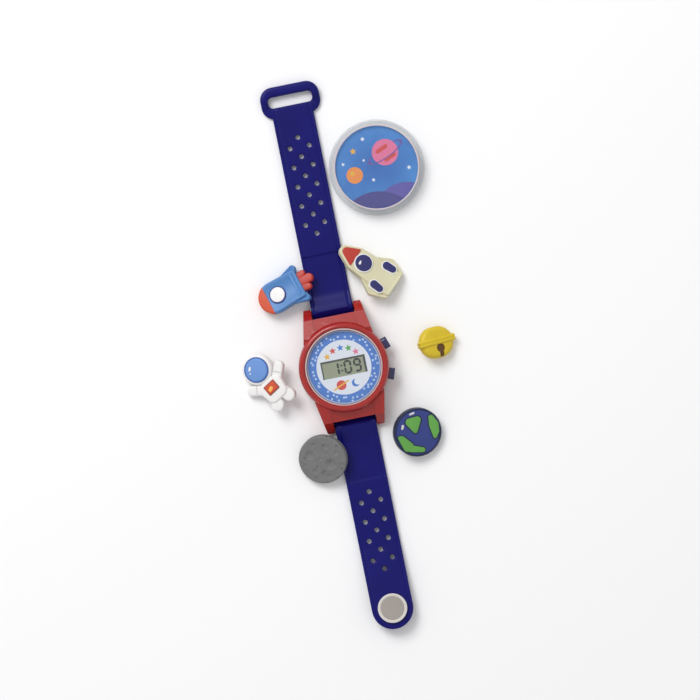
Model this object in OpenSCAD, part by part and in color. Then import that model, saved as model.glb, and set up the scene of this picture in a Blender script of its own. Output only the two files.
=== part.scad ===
// Toy digital watch with a perforated one-piece strap, a press-on picture cover and six plug-in charms.
// Millimetres. The origin is on the wrist side of the strap, under the middle of the case.
// +X points to the buttons, +Y to the loop end of the strap, +Z out through the dial.

/* [Case] */
// Diameter of the round case body
case_d = 37; // [34:0.5:40]
// Thickness of the round case wall
wall_t = 2.7; // [2.4:0.1:3.2]
// How far each end wall stands out past the round body
end_reach = 2.9; // [2.4:0.1:3.4]
// How far the lugs stand out past the end walls
lug_reach = 4.3; // [4:0.1:5.2]
// Width of one lug at its end
lug_w = 2.9; // [2.6:0.1:3.4]
// Room between a lug and the edge of the strap
lug_gap = 0.4; // [0.3:0.05:0.8]
// Diameter of the cross bar between two lugs
bar_d = 2; // [1.6:0.1:2.4]
// Height that the bezel stands above the lens
bezel_proud = 0.6; // [0.4:0.1:1]
// Width of the rounded top of the bezel
bezel_round = 1.6; // [1:0.1:2]
// Thickness of the plate that closes the back
back_t = 1.2; // [1.1:0.1:1.8]

/* [Display] */
// Thickness of the clear lens
lens_t = 1.2; // [0.8:0.1:1.6]
// Width of the ledge that the lens sits on
ledge_w = 0.8; // [0.5:0.1:1.2]
// Thickness of the ledge
ledge_t = 0.8; // [0.6:0.1:1.2]
// Thickness of the printed dial
dial_t = 0.4; // [0.3:0.1:0.8]
// Width of the window in the dial
window_w = 18.4; // [15:0.2:19]
// Height of the window in the dial
window_h = 7.2; // [6:0.2:8]
// Width of the liquid crystal panel
lcd_w = 21.6; // [20:0.2:22.4]
// Height of the liquid crystal panel
lcd_h = 11; // [10:0.2:12]
// Thickness of the liquid crystal panel
lcd_t = 1.5; // [1.2:0.1:2]

/* [Movement] */
// Thickness of the circuit board
board_t = 0.8; // [0.6:0.1:1]
// Room under the board for its parts
under_board = 1.95; // [1.9:0.05:2.3]
// Diameter of the button cell
cell_d = 11.6; // [9.5:0.1:12.2]
// Thickness of the button cell
cell_t = 3.1; // [2.8:0.1:3.6]
// Thickness of the holder's web over the cell
web_t = 0.4; // [0.3:0.05:0.6]
// Thickness of the spring metal strips
strip_t = 0.2; // [0.15:0.05:0.3]

/* [Buttons] */
// Angle of each button above or below the three o'clock line
button_angle = 19; // [17:1:22]
// Travel of a button
button_travel = 0.7; // [0.4:0.1:0.8]
// Width of a button cap
cap_w = 4.8; // [4:0.1:5.4]
// Height of a button cap
cap_h = 3; // [2.6:0.1:3.2]
// How far a cap stands out of the case
cap_proud = 2.3; // [1.6:0.1:2.6]
// Diameter of a button stem
stem_d = 2.2; // [1.8:0.1:2.3]

/* [Strap] */
// Width of the strap
strap_w = 17; // [15:0.5:18]
// Thickness of the perforated parts of the strap
strap_t = 2; // [1.8:0.1:2.6]
// How much thinner the plain middle of the strap is
step_t = 0.4; // [0.2:0.1:0.6]
// Distance from the middle to the step where the strap gets thicker
step_y = 47; // [44:0.5:48]
// Diameter of the strap holes
hole_d = 2; // [1.9:0.1:2.4]
// Distance between neighbouring rows of holes
row_pitch = 4; // [3.8:0.1:4.2]
// Distance of the outer columns of holes from the middle
column_x = 4; // [3.5:0.1:4.5]
// Distance from the middle to the first row of holes in the loop half
loop_rows_y = 56; // [55:0.5:57]
// Distance from the middle to the first row of holes in the tail half
tail_rows_y = 52; // [51:0.5:53]
// Distance from the middle to the closing stud
stud_y = 100.6; // [98:0.2:104]
// Distance from the middle to the outer end of the loop
loop_end_y = 118; // [116:0.5:122]
// Thickness of the loop
loop_t = 3.6; // [3:0.1:4.2]
// Width of the bar across the end of the loop
loop_bar = 4.1; // [3.2:0.1:5]
// Width of each side of the loop
loop_side = 3.1; // [2.6:0.1:3.8]
// Opening of the loop along the strap
slot_h = 4.4; // [4.3:0.1:5]
// Depth of the foot that joins the loop to the strap
loop_foot = 4.5; // [4:0.1:6]

/* [Stud and pegs] */
// Diameter of the stud head
stud_d = 12; // [10:0.2:13]
// Thickness of the stud head
stud_t = 1.3; // [1:0.1:1.8]
// Diameter of the collar that holds the stud in the strap
collar_d = 4.8; // [4:0.1:5.6]
// Thickness of that collar
collar_t = 0.7; // [0.5:0.1:0.9]
// How much thinner a peg neck is than its hole
peg_play = 0.1; // [0.05:0.05:0.2]
// How much wider the bulb on a peg is than its neck
bulb_over = 0.6; // [0.4:0.1:0.8]
// Length of the bulb on a peg
bulb_l = 0.8; // [0.7:0.1:1.2]

/* [Cover] */
// Room between the cover and the edge of the strap
cover_beside = 1.1; // [0.5:0.1:3]
// Place of the cover along the strap
cover_y = 77.4; // [74:0.1:80]
// Room between the cover's skirt and the case
cover_gap = 0.4; // [0.2:0.05:0.5]
// Thickness of the skirt
skirt_t = 0.7; // [0.6:0.05:0.9]
// Depth of the skirt
skirt_h = 2.4; // [1.8:0.1:3]
// Thickness of the plate across the cover
plate_t = 1; // [0.8:0.1:1.4]
// Width of the rim round the picture
rim_w = 2.2; // [1.8:0.1:2.8]
// Overhang of the lip that keeps the picture in
lip_w = 0.5; // [0.4:0.05:0.7]
// Thickness of the picture
picture_t = 0.4; // [0.3:0.05:0.6]
// Thickness of the edge of the cover's clear face
face_t = 0.7; // [0.5:0.1:1]
// Height of the dome on the clear face
dome_h = 0.9; // [0.6:0.1:1.2]

/* [Charms] */
// Thickness of a charm
charm_t = 3.2; // [2.6:0.1:4]
// Height of the raised details
relief_t = 0.5; // [0.3:0.1:0.8]
// Radius of the moon and of the globe
disc_r = 10; // [9:0.2:10.4]
// Length of the rocket from nose to flame
rocket_l = 25; // [23.4:0.2:25.6]
// Length of the shuttle
shuttle_l = 27.4; // [25:0.2:28]
// Width of the bell's band
bell_w = 16; // [14.6:0.2:17]
// Height of the astronaut
figure_h = 25.6; // [23:0.2:26.2]

/* [Hidden] */
$fn = 96;
// Clearances between pieces
fit = 0.1;
room = 0.3;
running = 0.07;
over = 1;
half_turn = 180;
// Room over the strap under the case, and over the cross bars
strap_room = 0.35;
bar_room = 0.25;

// Plan of the case
case_r = case_d / 2;
cavity_r = case_r - wall_t;
open_r = cavity_r - ledge_w;
lens_r = cavity_r;
end_y = case_r + end_reach;
lug_y = end_y + lug_reach;
lug_in = strap_w / 2 + lug_gap;
lug_out = lug_in + lug_w;
lug_root = 0.785 * case_r;
root_y = 0.6 * case_r;
shoulder_in = 4.5;
shoulder_y = case_r - shoulder_in;
lug_toe = 0.9;
lug_heel = 1.4;
lug_rise = 0.6;
lug_cap = 0.5;

// Heights from the strap up to the bezel
mid_t = strap_t - step_t;
back_z = mid_t + strap_room;
shell_z = back_z + back_t;
clip_z = shell_z + fit;
cell_z = clip_z + strip_t;
board_z = shell_z + under_board;
board_top = board_z + board_t;
lcd_z = max(cell_z + cell_t + fit + web_t, board_top + 2 * strip_t);
holder_top = lcd_z + lcd_t;
dial_z = holder_top;
ledge_z = dial_z + dial_t + fit / 2;
lens_z = ledge_z + ledge_t;
lens_top = lens_z + lens_t;
bezel_top = lens_top + bezel_proud;
bezel_low = ledge_z - 0.7;
shoulder_z = ledge_z + 0.3;
end_rise = 0.4;
end_z = (shell_z + shoulder_z) / 2 + end_rise;
lens_edge = 0.7 * lens_t;
lens_bevel = 0.6;

// Screws that hold the back
screw_r = 0.6;
screw_head_r = 1.3;
screw_head_h = back_t - 0.4;
screw_l = 4.4;
screw_x = lug_in + screw_head_r + 0.5;
screw_in = 4.6;
screw_y = end_y - screw_in;
back_y = screw_y + 2;

// Button stems, clips and side contacts, as distances from the middle of the case
stem_r = stem_d / 2;
button_z = board_z + board_t / 2;
pocket_depth = button_travel + 0.5;
pocket_r = case_r - pocket_depth;
cap_in = pocket_r + button_travel + 0.2;
cap_out = case_r + cap_proud;
clip_r = stem_r + 0.6;
groove_r = stem_r - 0.3;
clip_t = 0.4;
clip_out = sqrt(cavity_r * cavity_r - clip_r * clip_r) - fit;
stem_in = clip_out - clip_t - 0.3;
contact_r = stem_in - button_travel - 0.05;
contact_w = 3;
contact_foot = 2;
contact_drop = 0.6;
pocket_room = 0.2;
board_r = contact_r - strip_t - fit;

// Movement
holder_r = cavity_r - room;
cell_r = cell_d / 2;
cell_y = -(board_r - cell_r - 0.8);
zebra_w = 1.6;
zebra_inset = 1.8;
contact_corner = (contact_r - contact_foot) * cos(button_angle) - contact_w / 2 * sin(button_angle);
zebra_l = 2 * min(lcd_w / 2 - zebra_inset, contact_corner - room);
zebra_y = lcd_h / 2 - 1.2;
board_screw_r = 0.5;
board_screw_out = board_r - 1.7;
board_screw_angles = [100, 190];
board_screw_head_r = 1;
board_screw_head_h = 0.5;
board_screw_bite = 0.8;
tab_w = 3.4;
cell_step_r = 1.2;
cell_step_t = 0.4;
chip_at = [-6.4, 5];
chip_r = 2.7;
chip_top_r = 1.8;
chip_t = 0.9;
can_r = 0.75;
can_l = 5;
can_x = 1.5;
can_in = 5.45;
can_y = board_r - can_in;
press = 0.05;

// Strap: the hump over a cross bar, the flex lines and the rows of holes
bar_r = bar_d / 2;
bar_y = lug_y - bar_r - 0.9;
crest = bar_d + bar_room;
rise_l = 3.4;
fall_l = 7.4;
foot_in = bar_y - rise_l;
foot_out = bar_y + fall_l;
hinge_y = foot_out + 1;
cut_gap = 0.24;
rows_per_link = 5;
loop_rows = 11;
tail_rows = 9;
link_l = rows_per_link * row_pitch;
loop_cuts = [hinge_y, for (i = [0:2]) loop_rows_y - row_pitch / 2 + i * link_l];
tail_cuts = [hinge_y, for (i = [0:1]) tail_rows_y + row_pitch / 2 + i * link_l];
slot_w = strap_w + 1.2;
loop_w = slot_w + 2 * loop_side;
loop_l = loop_bar + slot_h + loop_foot;
slot_y = loop_end_y - loop_bar - slot_h / 2;
tail_r = strap_w / 2;
corner_share = 0.4;

// Pegs on the stud and on the charms
peg_r = hole_d / 2 - peg_play;
bulb_r = peg_r + bulb_over / 2;
tip_r = peg_r - 0.2;
peg_l = strap_t + bulb_l;
neck_r = 1.5;
root_t = 0.2;
stud_rim = 0.9;
stud_dish = 0.3;
floor_gap = 0.05;

// The peg lifts the tail off the surface that the watch lies on
tail_pivot = tail_cuts[2];
lift_arm = stud_y - tail_pivot - tip_r;
lift_drop = strap_t + peg_l;
tail_lift = atan2(lift_drop, lift_arm) - asin((strap_t - floor_gap) / norm([lift_arm, lift_drop]));

// Cover
skirt_r = case_r + cover_gap;
cover_r = skirt_r + skirt_t;
cover_x = strap_w / 2 + cover_beside + cover_r;
well_r = cover_r - rim_w;
picture_z = skirt_h + plate_t;
face_z = picture_z + picture_t;
lip_z = face_z + face_t + fit;
lip_t = 0.6;
cover_top = lip_z + lip_t;
lip_r = well_r - lip_w;
dome_r = lip_r - room / 2;
dome_drop = 0.2;
dome_base = cover_top - dome_drop;

// Charm outlines: discs as [x, y, radius] about the peg, with the nose on +X or the head on +Y
nose_x = rocket_l / 2;
nose_r = 6.6;
rocket_hull = [[nose_x - nose_r, 0, nose_r], [-5.7, 5.2, 1], [-5.7, -5.2, 1]];
rocket_fin = [[-6.2, 6.9, 1.3], [0.5, 5.2, 1], [-5.5, 4, 1]];
rocket_flame = [[1.9 - rocket_l / 2, 0, 1.9], [-8, 2.7, 1.6], [-8, -2.7, 1.6], [-6, 0, 2]];
tip_x = shuttle_l / 2;
shuttle_hull = [[tip_x - 2.6, 0, 2.6], [5, 0, 5.2], [-4.2, 0, 5.7],
    [1.3 - tip_x, 4.3, 1.3], [1.3 - tip_x, -4.3, 1.3]];
shuttle_fin = [[1.7 - tip_x, 5.4, 1.6], [-6.8, 7.5, 1.6], [0, 4.2, 1]];
bell_band = [[bell_w / 2 - 1.4, 0.4, 1.4], [1.4 - bell_w / 2, 0.4, 1.4]];
bell_body = [[0.9, 0, 6.5], [-0.9, 0, 6.5]];
head_r = 6.5;
head_y = figure_h / 2 - head_r;
foot_y = 2.7 - figure_h / 2;
figure_head = [[0, head_y, head_r]];
neck_drop = 8.6;
shoulder_at = head_y - neck_drop;
hip_at = foot_y + 3.5;
figure_body = [[-2.8, shoulder_at, 2.8], [2.8, shoulder_at, 2.8], [-2.2, hip_at, 2.6], [2.2, hip_at, 2.6]];
hand_rise = 3.7;
figure_arm = [[7.8, shoulder_at + hand_rise, 2.1], [3.2, shoulder_at + 0.2, 2.2]];
figure_leg = [[3.2, foot_y, 2.7], [2, hip_at + 0.6, 2.4]];
disc_outline = [[0, 0, disc_r]];
globe_lands = [[[-1.9, 5.4, 1.6], [1.5, 5, 1.5], [-0.8, 1.2, 1]],
    [[7.2, 3.6, 1.1], [7.3, 0.4, 2], [7.3, -2.6, 1.2], [6.1, -4.3, 0.8]],
    [[-7.8, 0.8, 0.9], [-6.5, -4.2, 1.5], [-0.7, -7.5, 1]]];
moon_craters = [[-4.2, 3.6, 2], [3.4, 4.6, 1.4], [2.6, -2.8, 2.4],
    [-4.6, -3.4, 1.3], [6.4, 0.6, 1.1], [-0.6, 0.8, 0.9]];
crater_depth = 0.45;
port_back = 8.6;
rocket_port = [nose_x - port_back, 3.1];
shuttle_port = [2.4, 3.5];
fin_share = 0.75;
flame_share = 0.7;
limb_share = 0.8;
slit_x = 0.6;
slit_w = 2;
slit_r = 1.8;
slit_y = -2.6;
slit_l = 3.2;
visor_r = 5.3;
badge_w = 5.6;
badge_h = 4;
badge_y = shoulder_at - 1;

// Where each charm lies: place, the way its picture is turned, and the side that leans on the surface
rocket_at = [-16, 34.8];
rocket_turn = 198;
rocket_lean = 145;
shuttle_at = [16.8, 37.5];
shuttle_turn = 134;
shuttle_lean = 35;
bell_at = [38, 2.4];
bell_turn = 4;
bell_lean = 5;
globe_at = [23.4, -31.3];
globe_turn = 11;
globe_lean = -40;
moon_at = [-15, -34.6];
moon_turn = 11;
moon_lean = 215;
figure_at = [-30.8, 0.5];
figure_turn = 31;
figure_lean = 180;

// Height of the strap's underside at a distance from the middle: it rides over each cross bar
function hump(y) = y <= foot_in || y >= foot_out ? 0
    : y < bar_y ? crest * (1 - cos(half_turn * (y - foot_in) / (bar_y - foot_in))) / 2
    : crest * (1 + cos(half_turn * (y - bar_y) / (foot_out - bar_y))) / 2;

// Farthest reach of an outline of discs in one direction
function reach(discs, angle) = max([for (d = discs) d[0] * cos(angle) + d[1] * sin(angle) + d[2]]);
function mirrored(discs) = [for (d = discs) [d[0], -d[1], d[2]]];
function mirrored_x(discs) = [for (d = discs) [-d[0], d[1], d[2]]];

module both_ends() {
    children();
    mirror([0, 1, 0]) children();
}

module both_sides() {
    children();
    mirror([1, 0, 0]) children();
}

// Profile in the plane of Y and Z, given its depth along X about the middle
module along_x(depth) {
    translate([-depth / 2, 0, 0]) rotate([90, 0, 90]) linear_extrude(depth) children();
}

module rounded_slab(w, h, r) {
    square([w, h - 2 * r], center = true);
    square([w - 2 * r, h], center = true);
    for (x = [-1, 1], y = [-1, 1]) translate([x * (w / 2 - r), y * (h / 2 - r)]) circle(r);
}

// Slot with round ends along Y
module stadium(w, h) {
    square([w, h - w], center = true);
    for (y = [-1, 1]) translate([0, y * (h - w) / 2]) circle(w / 2);
}

module disc_hull(discs) {
    hull() for (d = discs) translate([d[0], d[1]]) circle(d[2], $fn = 32);
}

// Local Z runs outwards along the button's axis
module at_button(angle) {
    rotate([0, 0, angle]) translate([0, 0, button_z]) rotate([0, 90, 0]) children();
}

module cap_outline(grow) {
    stadium(cap_h + 2 * grow, cap_w + 2 * grow);
}

module at_screws() {
    both_ends() both_sides() translate([screw_x, screw_y, 0]) children();
}

// Case
module bezel_body() {
    bezel_in = case_r - bezel_round;
    bezel_rise = bezel_top - bezel_low;
    rotate_extrude() polygon(concat([[0, shell_z], [case_r, shell_z]],
        [for (a = [0:15:90]) [bezel_in + bezel_round * cos(a), bezel_low + bezel_rise * sin(a)]],
        [[0, bezel_top]]));
}

// Plan of the shoulders and lugs, which flare from the lug ends into the round body
module end_plan() {
    polygon([[lug_out, lug_y], [lug_root, root_y], [lug_root, -root_y], [lug_out, -lug_y],
        [-lug_out, -lug_y], [-lug_root, -root_y], [-lug_root, root_y], [-lug_out, lug_y]]);
}

module shoulders() {
    along_x(2 * lug_root) polygon([[-end_y, shell_z], [end_y, shell_z], [end_y, end_z],
        [shoulder_y, shoulder_z], [-shoulder_y, shoulder_z], [-end_y, end_z]]);
}

module lug() {
    translate([lug_in, 0, 0]) rotate([90, 0, 90]) linear_extrude(lug_root - lug_in)
        polygon([[shoulder_y, shell_z], [end_y - lug_toe, shell_z], [end_y + fit, lug_toe],
            [end_y + lug_toe, 0], [lug_y - lug_toe, 0], [lug_y, lug_toe], [lug_y, bar_d + lug_cap],
            [lug_y - lug_heel, crest + mid_t + lug_rise],
            [end_y, end_z + lug_rise], [shoulder_y, shoulder_z + end_rise]]);
}

module cross_bar() {
    translate([0, bar_y, bar_r]) rotate([0, 90, 0])
        cylinder(r = bar_r, h = 2 * lug_in + lug_w, center = true);
}

module case_shell() {
    color("#c4231f") difference() {
        union() {
            bezel_body();
            intersection() {
                union() {
                    shoulders();
                    both_ends() both_sides() lug();
                }
                linear_extrude(bezel_top) end_plan();
            }
            both_ends() cross_bar();
        }
        translate([0, 0, shell_z - over]) cylinder(r = cavity_r, h = ledge_z - shell_z + over);
        translate([0, 0, ledge_z - over]) cylinder(r = open_r, h = bezel_top);
        translate([0, 0, lens_z]) cylinder(r = lens_r + fit, h = bezel_top);
        translate([0, 0, lens_top])
            cylinder(r1 = lens_r + fit, r2 = lens_r + fit + bezel_proud, h = bezel_proud);
        for (a = [button_angle, -button_angle]) at_button(a) {
            cylinder(r = stem_r + running, h = case_r + over);
            translate([0, 0, pocket_r]) linear_extrude(pocket_depth + over) cap_outline(pocket_room);
        }
        at_screws() translate([0, 0, shell_z - over]) cylinder(r = screw_r + press, h = screw_l + over);
    }
}

module case_back() {
    color("#a81c1a") difference() {
        translate([0, 0, back_z]) linear_extrude(back_t) {
            circle(case_r - 0.6);
            intersection() {
                square([2 * case_d, 2 * back_y], center = true);
                offset(delta = -room) end_plan();
            }
        }
        at_screws() translate([0, 0, back_z - over]) {
            cylinder(r = screw_r + fit, h = back_t + 2 * over);
            cylinder(r = screw_head_r + fit, h = screw_head_h + over);
        }
    }
}

module back_screws() {
    color("silver") at_screws() translate([0, 0, back_z]) {
        cylinder(r = screw_head_r, h = screw_head_h);
        cylinder(r = screw_r, h = back_t + screw_l - room);
    }
}

module lens() {
    color("#dfeaf2", 0.4) translate([0, 0, lens_z]) {
        cylinder(r = lens_r, h = lens_edge);
        translate([0, 0, lens_edge]) cylinder(r1 = lens_r, r2 = lens_r - lens_bevel, h = lens_t - lens_edge);
    }
}

module dial_plate() {
    color("#5b93dc") translate([0, 0, dial_z]) linear_extrude(dial_t) difference() {
        circle(cavity_r - room);
        square([window_w, window_h], center = true);
    }
}

module lcd_panel() {
    color("#a3a48c") translate([-lcd_w / 2, -lcd_h / 2, lcd_z]) cube([lcd_w, lcd_h, lcd_t]);
}

// Movement
module zebra_strip() {
    color("#d98ca0") translate([-zebra_l / 2, zebra_y - zebra_w / 2, board_top])
        cube([zebra_l, zebra_w, lcd_z - board_top]);
}

module at_board_screws() {
    for (a = board_screw_angles) rotate(a) translate([board_screw_out, 0, 0]) children();
}

module circuit_board() {
    color("#2f7d3f") translate([0, 0, board_z]) difference() {
        cylinder(r = board_r, h = board_t);
        translate([0, cell_y, -over]) cylinder(r = cell_r + room, h = board_t + 2 * over);
        translate([0, cell_y - board_r, board_t / 2])
            cube([cell_d / 2, 2 * board_r, board_t + over], center = true);
        at_board_screws() translate([0, 0, -over]) cylinder(r = board_screw_r + fit, h = board_t + 2 * over);
    }
}

module board_screws() {
    color("silver") at_board_screws() translate([0, 0, board_z - board_screw_head_h]) {
        cylinder(r = board_screw_head_r, h = board_screw_head_h);
        cylinder(r = board_screw_r, h = board_screw_head_h + board_t + board_screw_bite);
    }
}

module chip_blob() {
    color("#181818") translate([chip_at[0], chip_at[1], board_z - chip_t])
        cylinder(r1 = chip_top_r, r2 = chip_r, h = chip_t);
}

module quartz_can() {
    color("silver") translate([can_x, can_y, board_z - can_r - press]) rotate([0, 90, 0])
        cylinder(r = can_r, h = can_l);
}

module module_holder() {
    web = lcd_z - board_top;
    color("#e9e8e2") difference() {
        translate([0, 0, shell_z + fit]) cylinder(r = holder_r, h = holder_top - shell_z - fit);
        translate([0, 0, shell_z - over]) cylinder(r = board_r + fit, h = board_top - shell_z + over);
        translate([0, cell_y, shell_z]) cylinder(r = cell_r + 0.2, h = cell_z + cell_t + fit - shell_z);
        translate([-lcd_w / 2 - fit, -lcd_h / 2 - fit, lcd_z])
            cube([lcd_w + 2 * fit, lcd_h + 2 * fit, lcd_t + over]);
        translate([-zebra_l / 2 - fit, zebra_y - zebra_w / 2 - fit, board_top - over])
            cube([zebra_l + 2 * fit, zebra_w + 2 * fit, web + 2 * over]);
        at_board_screws() translate([0, 0, board_top - over])
            cylinder(r = board_screw_r + press, h = over + board_screw_bite + room);
        for (a = [button_angle, -button_angle]) rotate(a) {
            translate([contact_r - contact_foot - room, -contact_w / 2 - room, shell_z - over])
                cube([over + contact_foot + room, contact_w + 2 * room,
                    board_top + strip_t + fit - shell_z + over]);
            translate([contact_r - room, -clip_r - room, shell_z - over])
                cube([holder_r, 2 * (clip_r + room), button_z + clip_r + room - shell_z + over]);
        }
    }
}

module button_cell() {
    color("#c9cdd1") translate([0, cell_y, cell_z]) {
        cylinder(r = cell_r - cell_step_r, h = cell_step_t);
        translate([0, 0, cell_step_t]) cylinder(r = cell_r, h = cell_t - cell_step_t);
    }
}

module cell_clip() {
    span = cell_r + room + 0.6;
    color("#c8a44a") translate([0, cell_y, clip_z]) {
        translate([-span, -tab_w / 2, 0]) cube([2 * span, tab_w, strip_t]);
        both_sides() translate([span - strip_t, -tab_w / 2, 0]) cube([strip_t, tab_w, board_z - clip_z]);
    }
}

module side_contacts() {
    color("#c8a44a") for (a = [button_angle, -button_angle]) rotate(a) {
        translate([contact_r - strip_t, -contact_w / 2, board_z - contact_drop])
            cube([strip_t, contact_w, board_t + contact_drop + strip_t]);
        translate([contact_r - contact_foot, -contact_w / 2, board_top])
            cube([contact_foot, contact_w, strip_t]);
    }
}

// Buttons
module button(angle) {
    color("#1b1a6e") at_button(angle) difference() {
        union() {
            translate([0, 0, stem_in]) cylinder(r = stem_r, h = cap_in - stem_in + 0.2);
            translate([0, 0, cap_in]) linear_extrude(cap_out - cap_in) cap_outline(0);
        }
        translate([0, 0, clip_out - clip_t]) difference() {
            cylinder(r = stem_r + over, h = clip_t);
            translate([0, 0, -over]) cylinder(r = groove_r, h = clip_t + 2 * over);
        }
    }
}

module button_clip(angle) {
    color("silver") at_button(angle) translate([0, 0, clip_out - clip_t]) difference() {
        cylinder(r = clip_r, h = clip_t);
        translate([0, 0, -over]) cylinder(r = groove_r + 0.02, h = clip_t + 2 * over);
        translate([0, -groove_r, -over]) cube([2 * clip_r, 2 * groove_r, clip_t + 2 * over]);
    }
}

module upper_button() { button(button_angle); }
module upper_button_clip() { button_clip(button_angle); }
module lower_button() { button(-button_angle); }
module lower_button_clip() { button_clip(-button_angle); }

// Strap
module strap_color() { color("#1d1c78") children(); }

module strap_centre() {
    bend_steps = 8;
    half = concat([for (i = [0:bend_steps]) foot_in + i * (bar_y - foot_in) / bend_steps],
        [for (i = [1:bend_steps]) bar_y + i * (foot_out - bar_y) / bend_steps], [hinge_y - cut_gap / 2]);
    back = [for (i = [len(half) - 1:-1:0]) half[i]];
    strap_color() along_x(strap_w) polygon(concat(
        [for (y = back) [-y, hump(y)]], [for (y = half) [y, hump(y)]],
        [for (y = back) [y, hump(y) + mid_t]], [for (y = half) [-y, hump(y) + mid_t]]));
}

// Plain length of strap between two distances from the middle, stepped up to its full thickness
module strap_length(y0, y1) {
    along_x(strap_w) polygon(y0 < step_y
        ? [[y0, 0], [y1, 0], [y1, strap_t], [step_y, strap_t], [step_y, mid_t], [y0, mid_t]]
        : [[y0, 0], [y1, 0], [y1, strap_t], [y0, strap_t]]);
}

// Holes in one half: single holes in the middle column alternate with pairs in the outer columns
module strap_holes(first_y, rows, y0, y1) {
    for (i = [0:rows - 1]) let (y = first_y + i * row_pitch)
        if (y > y0 && y < y1) for (x = i % 2 == 0 ? [0] : [-column_x, column_x])
            translate([x, y, -over]) cylinder(r = hole_d / 2, h = strap_t + 2 * over);
}

module loop_link(i) {
    y0 = loop_cuts[i] + cut_gap / 2;
    y1 = loop_cuts[i + 1] - cut_gap / 2;
    strap_color() difference() {
        strap_length(y0, y1);
        strap_holes(loop_rows_y, loop_rows, y0, y1);
    }
}

module tail_link(i) {
    y0 = tail_cuts[i] + cut_gap / 2;
    y1 = tail_cuts[i + 1] - cut_gap / 2;
    strap_color() mirror([0, 1, 0]) difference() {
        strap_length(y0, y1);
        strap_holes(tail_rows_y, tail_rows, y0, y1);
    }
}

module strap_loop_1() { loop_link(0); }
module strap_loop_2() { loop_link(1); }
module strap_loop_3() { loop_link(2); }

module strap_loop_end() {
    y0 = loop_cuts[3] + cut_gap / 2;
    strap_color() difference() {
        union() {
            strap_length(y0, slot_y - slot_h / 2);
            translate([0, loop_end_y - loop_l / 2, 0]) linear_extrude(loop_t)
                rounded_slab(loop_w, loop_l, loop_l * corner_share);
        }
        translate([0, slot_y, -over]) linear_extrude(loop_t + 2 * over)
            rounded_slab(slot_w, slot_h, slot_h * corner_share);
        strap_holes(loop_rows_y, loop_rows, y0, slot_y);
    }
}

module strap_tail_1() { tail_link(0); }
module strap_tail_2() { tail_link(1); }

// The last length of the tail turns up about its top edge
module lifted() {
    translate([0, -tail_pivot, strap_t]) rotate([-tail_lift, 0, 0])
        translate([0, tail_pivot, -strap_t]) children();
}

module strap_tail_end() {
    y0 = tail_pivot + cut_gap / 2;
    strap_color() lifted() mirror([0, 1, 0]) difference() {
        union() {
            strap_length(y0, stud_y);
            translate([0, stud_y, 0]) cylinder(r = tail_r, h = strap_t);
        }
        strap_holes(tail_rows_y, tail_rows, y0, stud_y);
        translate([0, stud_y, -over]) cylinder(r = neck_r + press, h = strap_t + 2 * over);
        translate([0, stud_y, -over]) cylinder(r = collar_d / 2 + press, h = collar_t + over);
    }
}

// Peg that plugs into a strap hole: its root is at Z = 0 and it points down
module peg() {
    rotate_extrude() polygon([[0, root_t], [peg_r, root_t], [peg_r, -strap_t],
        [bulb_r, -strap_t - bulb_l * 0.3], [bulb_r, -strap_t - bulb_l * 0.6], [tip_r, -peg_l], [0, -peg_l]]);
}

module closing_stud() {
    color("#e8e6df") lifted() translate([0, -stud_y, 0]) {
        difference() {
            translate([0, 0, strap_t]) cylinder(r = stud_d / 2, h = stud_t);
            translate([0, 0, strap_t + stud_t - stud_dish]) cylinder(r = stud_d / 2 - stud_rim, h = over);
        }
        cylinder(r = neck_r, h = strap_t + root_t);
        cylinder(r = collar_d / 2, h = collar_t);
        peg();
    }
}

// Cover: a clear cap that presses over the case, with a picture that turns in its rim
module at_cover() { translate([cover_x, cover_y, 0]) children(); }

module cover_cap() {
    color("#e3ecf3", 0.5) at_cover() difference() {
        cylinder(r = cover_r, h = cover_top);
        translate([0, 0, -over]) cylinder(r = skirt_r, h = skirt_h + over);
        translate([0, 0, picture_z]) cylinder(r = well_r, h = lip_z - picture_z);
        translate([0, 0, picture_z]) cylinder(r = lip_r, h = cover_top);
    }
}

module cover_picture() {
    color("#3f8fd6") at_cover() translate([0, 0, picture_z + floor_gap])
        cylinder(r = well_r - fit, h = picture_t - floor_gap);
}

module cover_face() {
    dome_steps = 8;
    color("#e3ecf3", 0.4) at_cover() rotate_extrude() polygon(concat(
        [[0, face_z], [well_r - fit, face_z], [well_r - fit, face_z + face_t], [dome_r, face_z + face_t]],
        [for (i = [dome_steps:-1:0]) let (t = i / dome_steps)
            [dome_r * t, dome_base + dome_h * (1 - t * t)]]));
}

// Charms: each lies on the rim of its back and on the tip of its peg
module lie(at, turn, lean, discs) {
    r = reach(discs, lean - turn);
    tilt = atan2(peg_l, r - tip_r);
    translate([at[0], at[1], floor_gap]) rotate(lean) translate([r, 0, 0]) rotate([0, tilt, 0])
        translate([-r, 0, 0]) rotate(turn - lean) {
            children();
            peg();
        }
}

// A raised round window, given as its place along the charm and its radius
module porthole(port) {
    translate([port[0], 0, charm_t - root_t]) cylinder(r = port[1], h = root_t + relief_t);
}

module rocket_charm() {
    lie(rocket_at, rocket_turn, rocket_lean,
        concat(rocket_hull, rocket_fin, mirrored(rocket_fin), rocket_flame)) {
        color("#3f7fc4") linear_extrude(charm_t) disc_hull(rocket_hull);
        color("#3f7fc4") linear_extrude(charm_t * fin_share) {
            disc_hull(rocket_fin);
            disc_hull(mirrored(rocket_fin));
        }
        color("#d8352c") linear_extrude(charm_t * flame_share) disc_hull(rocket_flame);
        color("#f4f4f0") porthole(rocket_port);
    }
}

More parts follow.
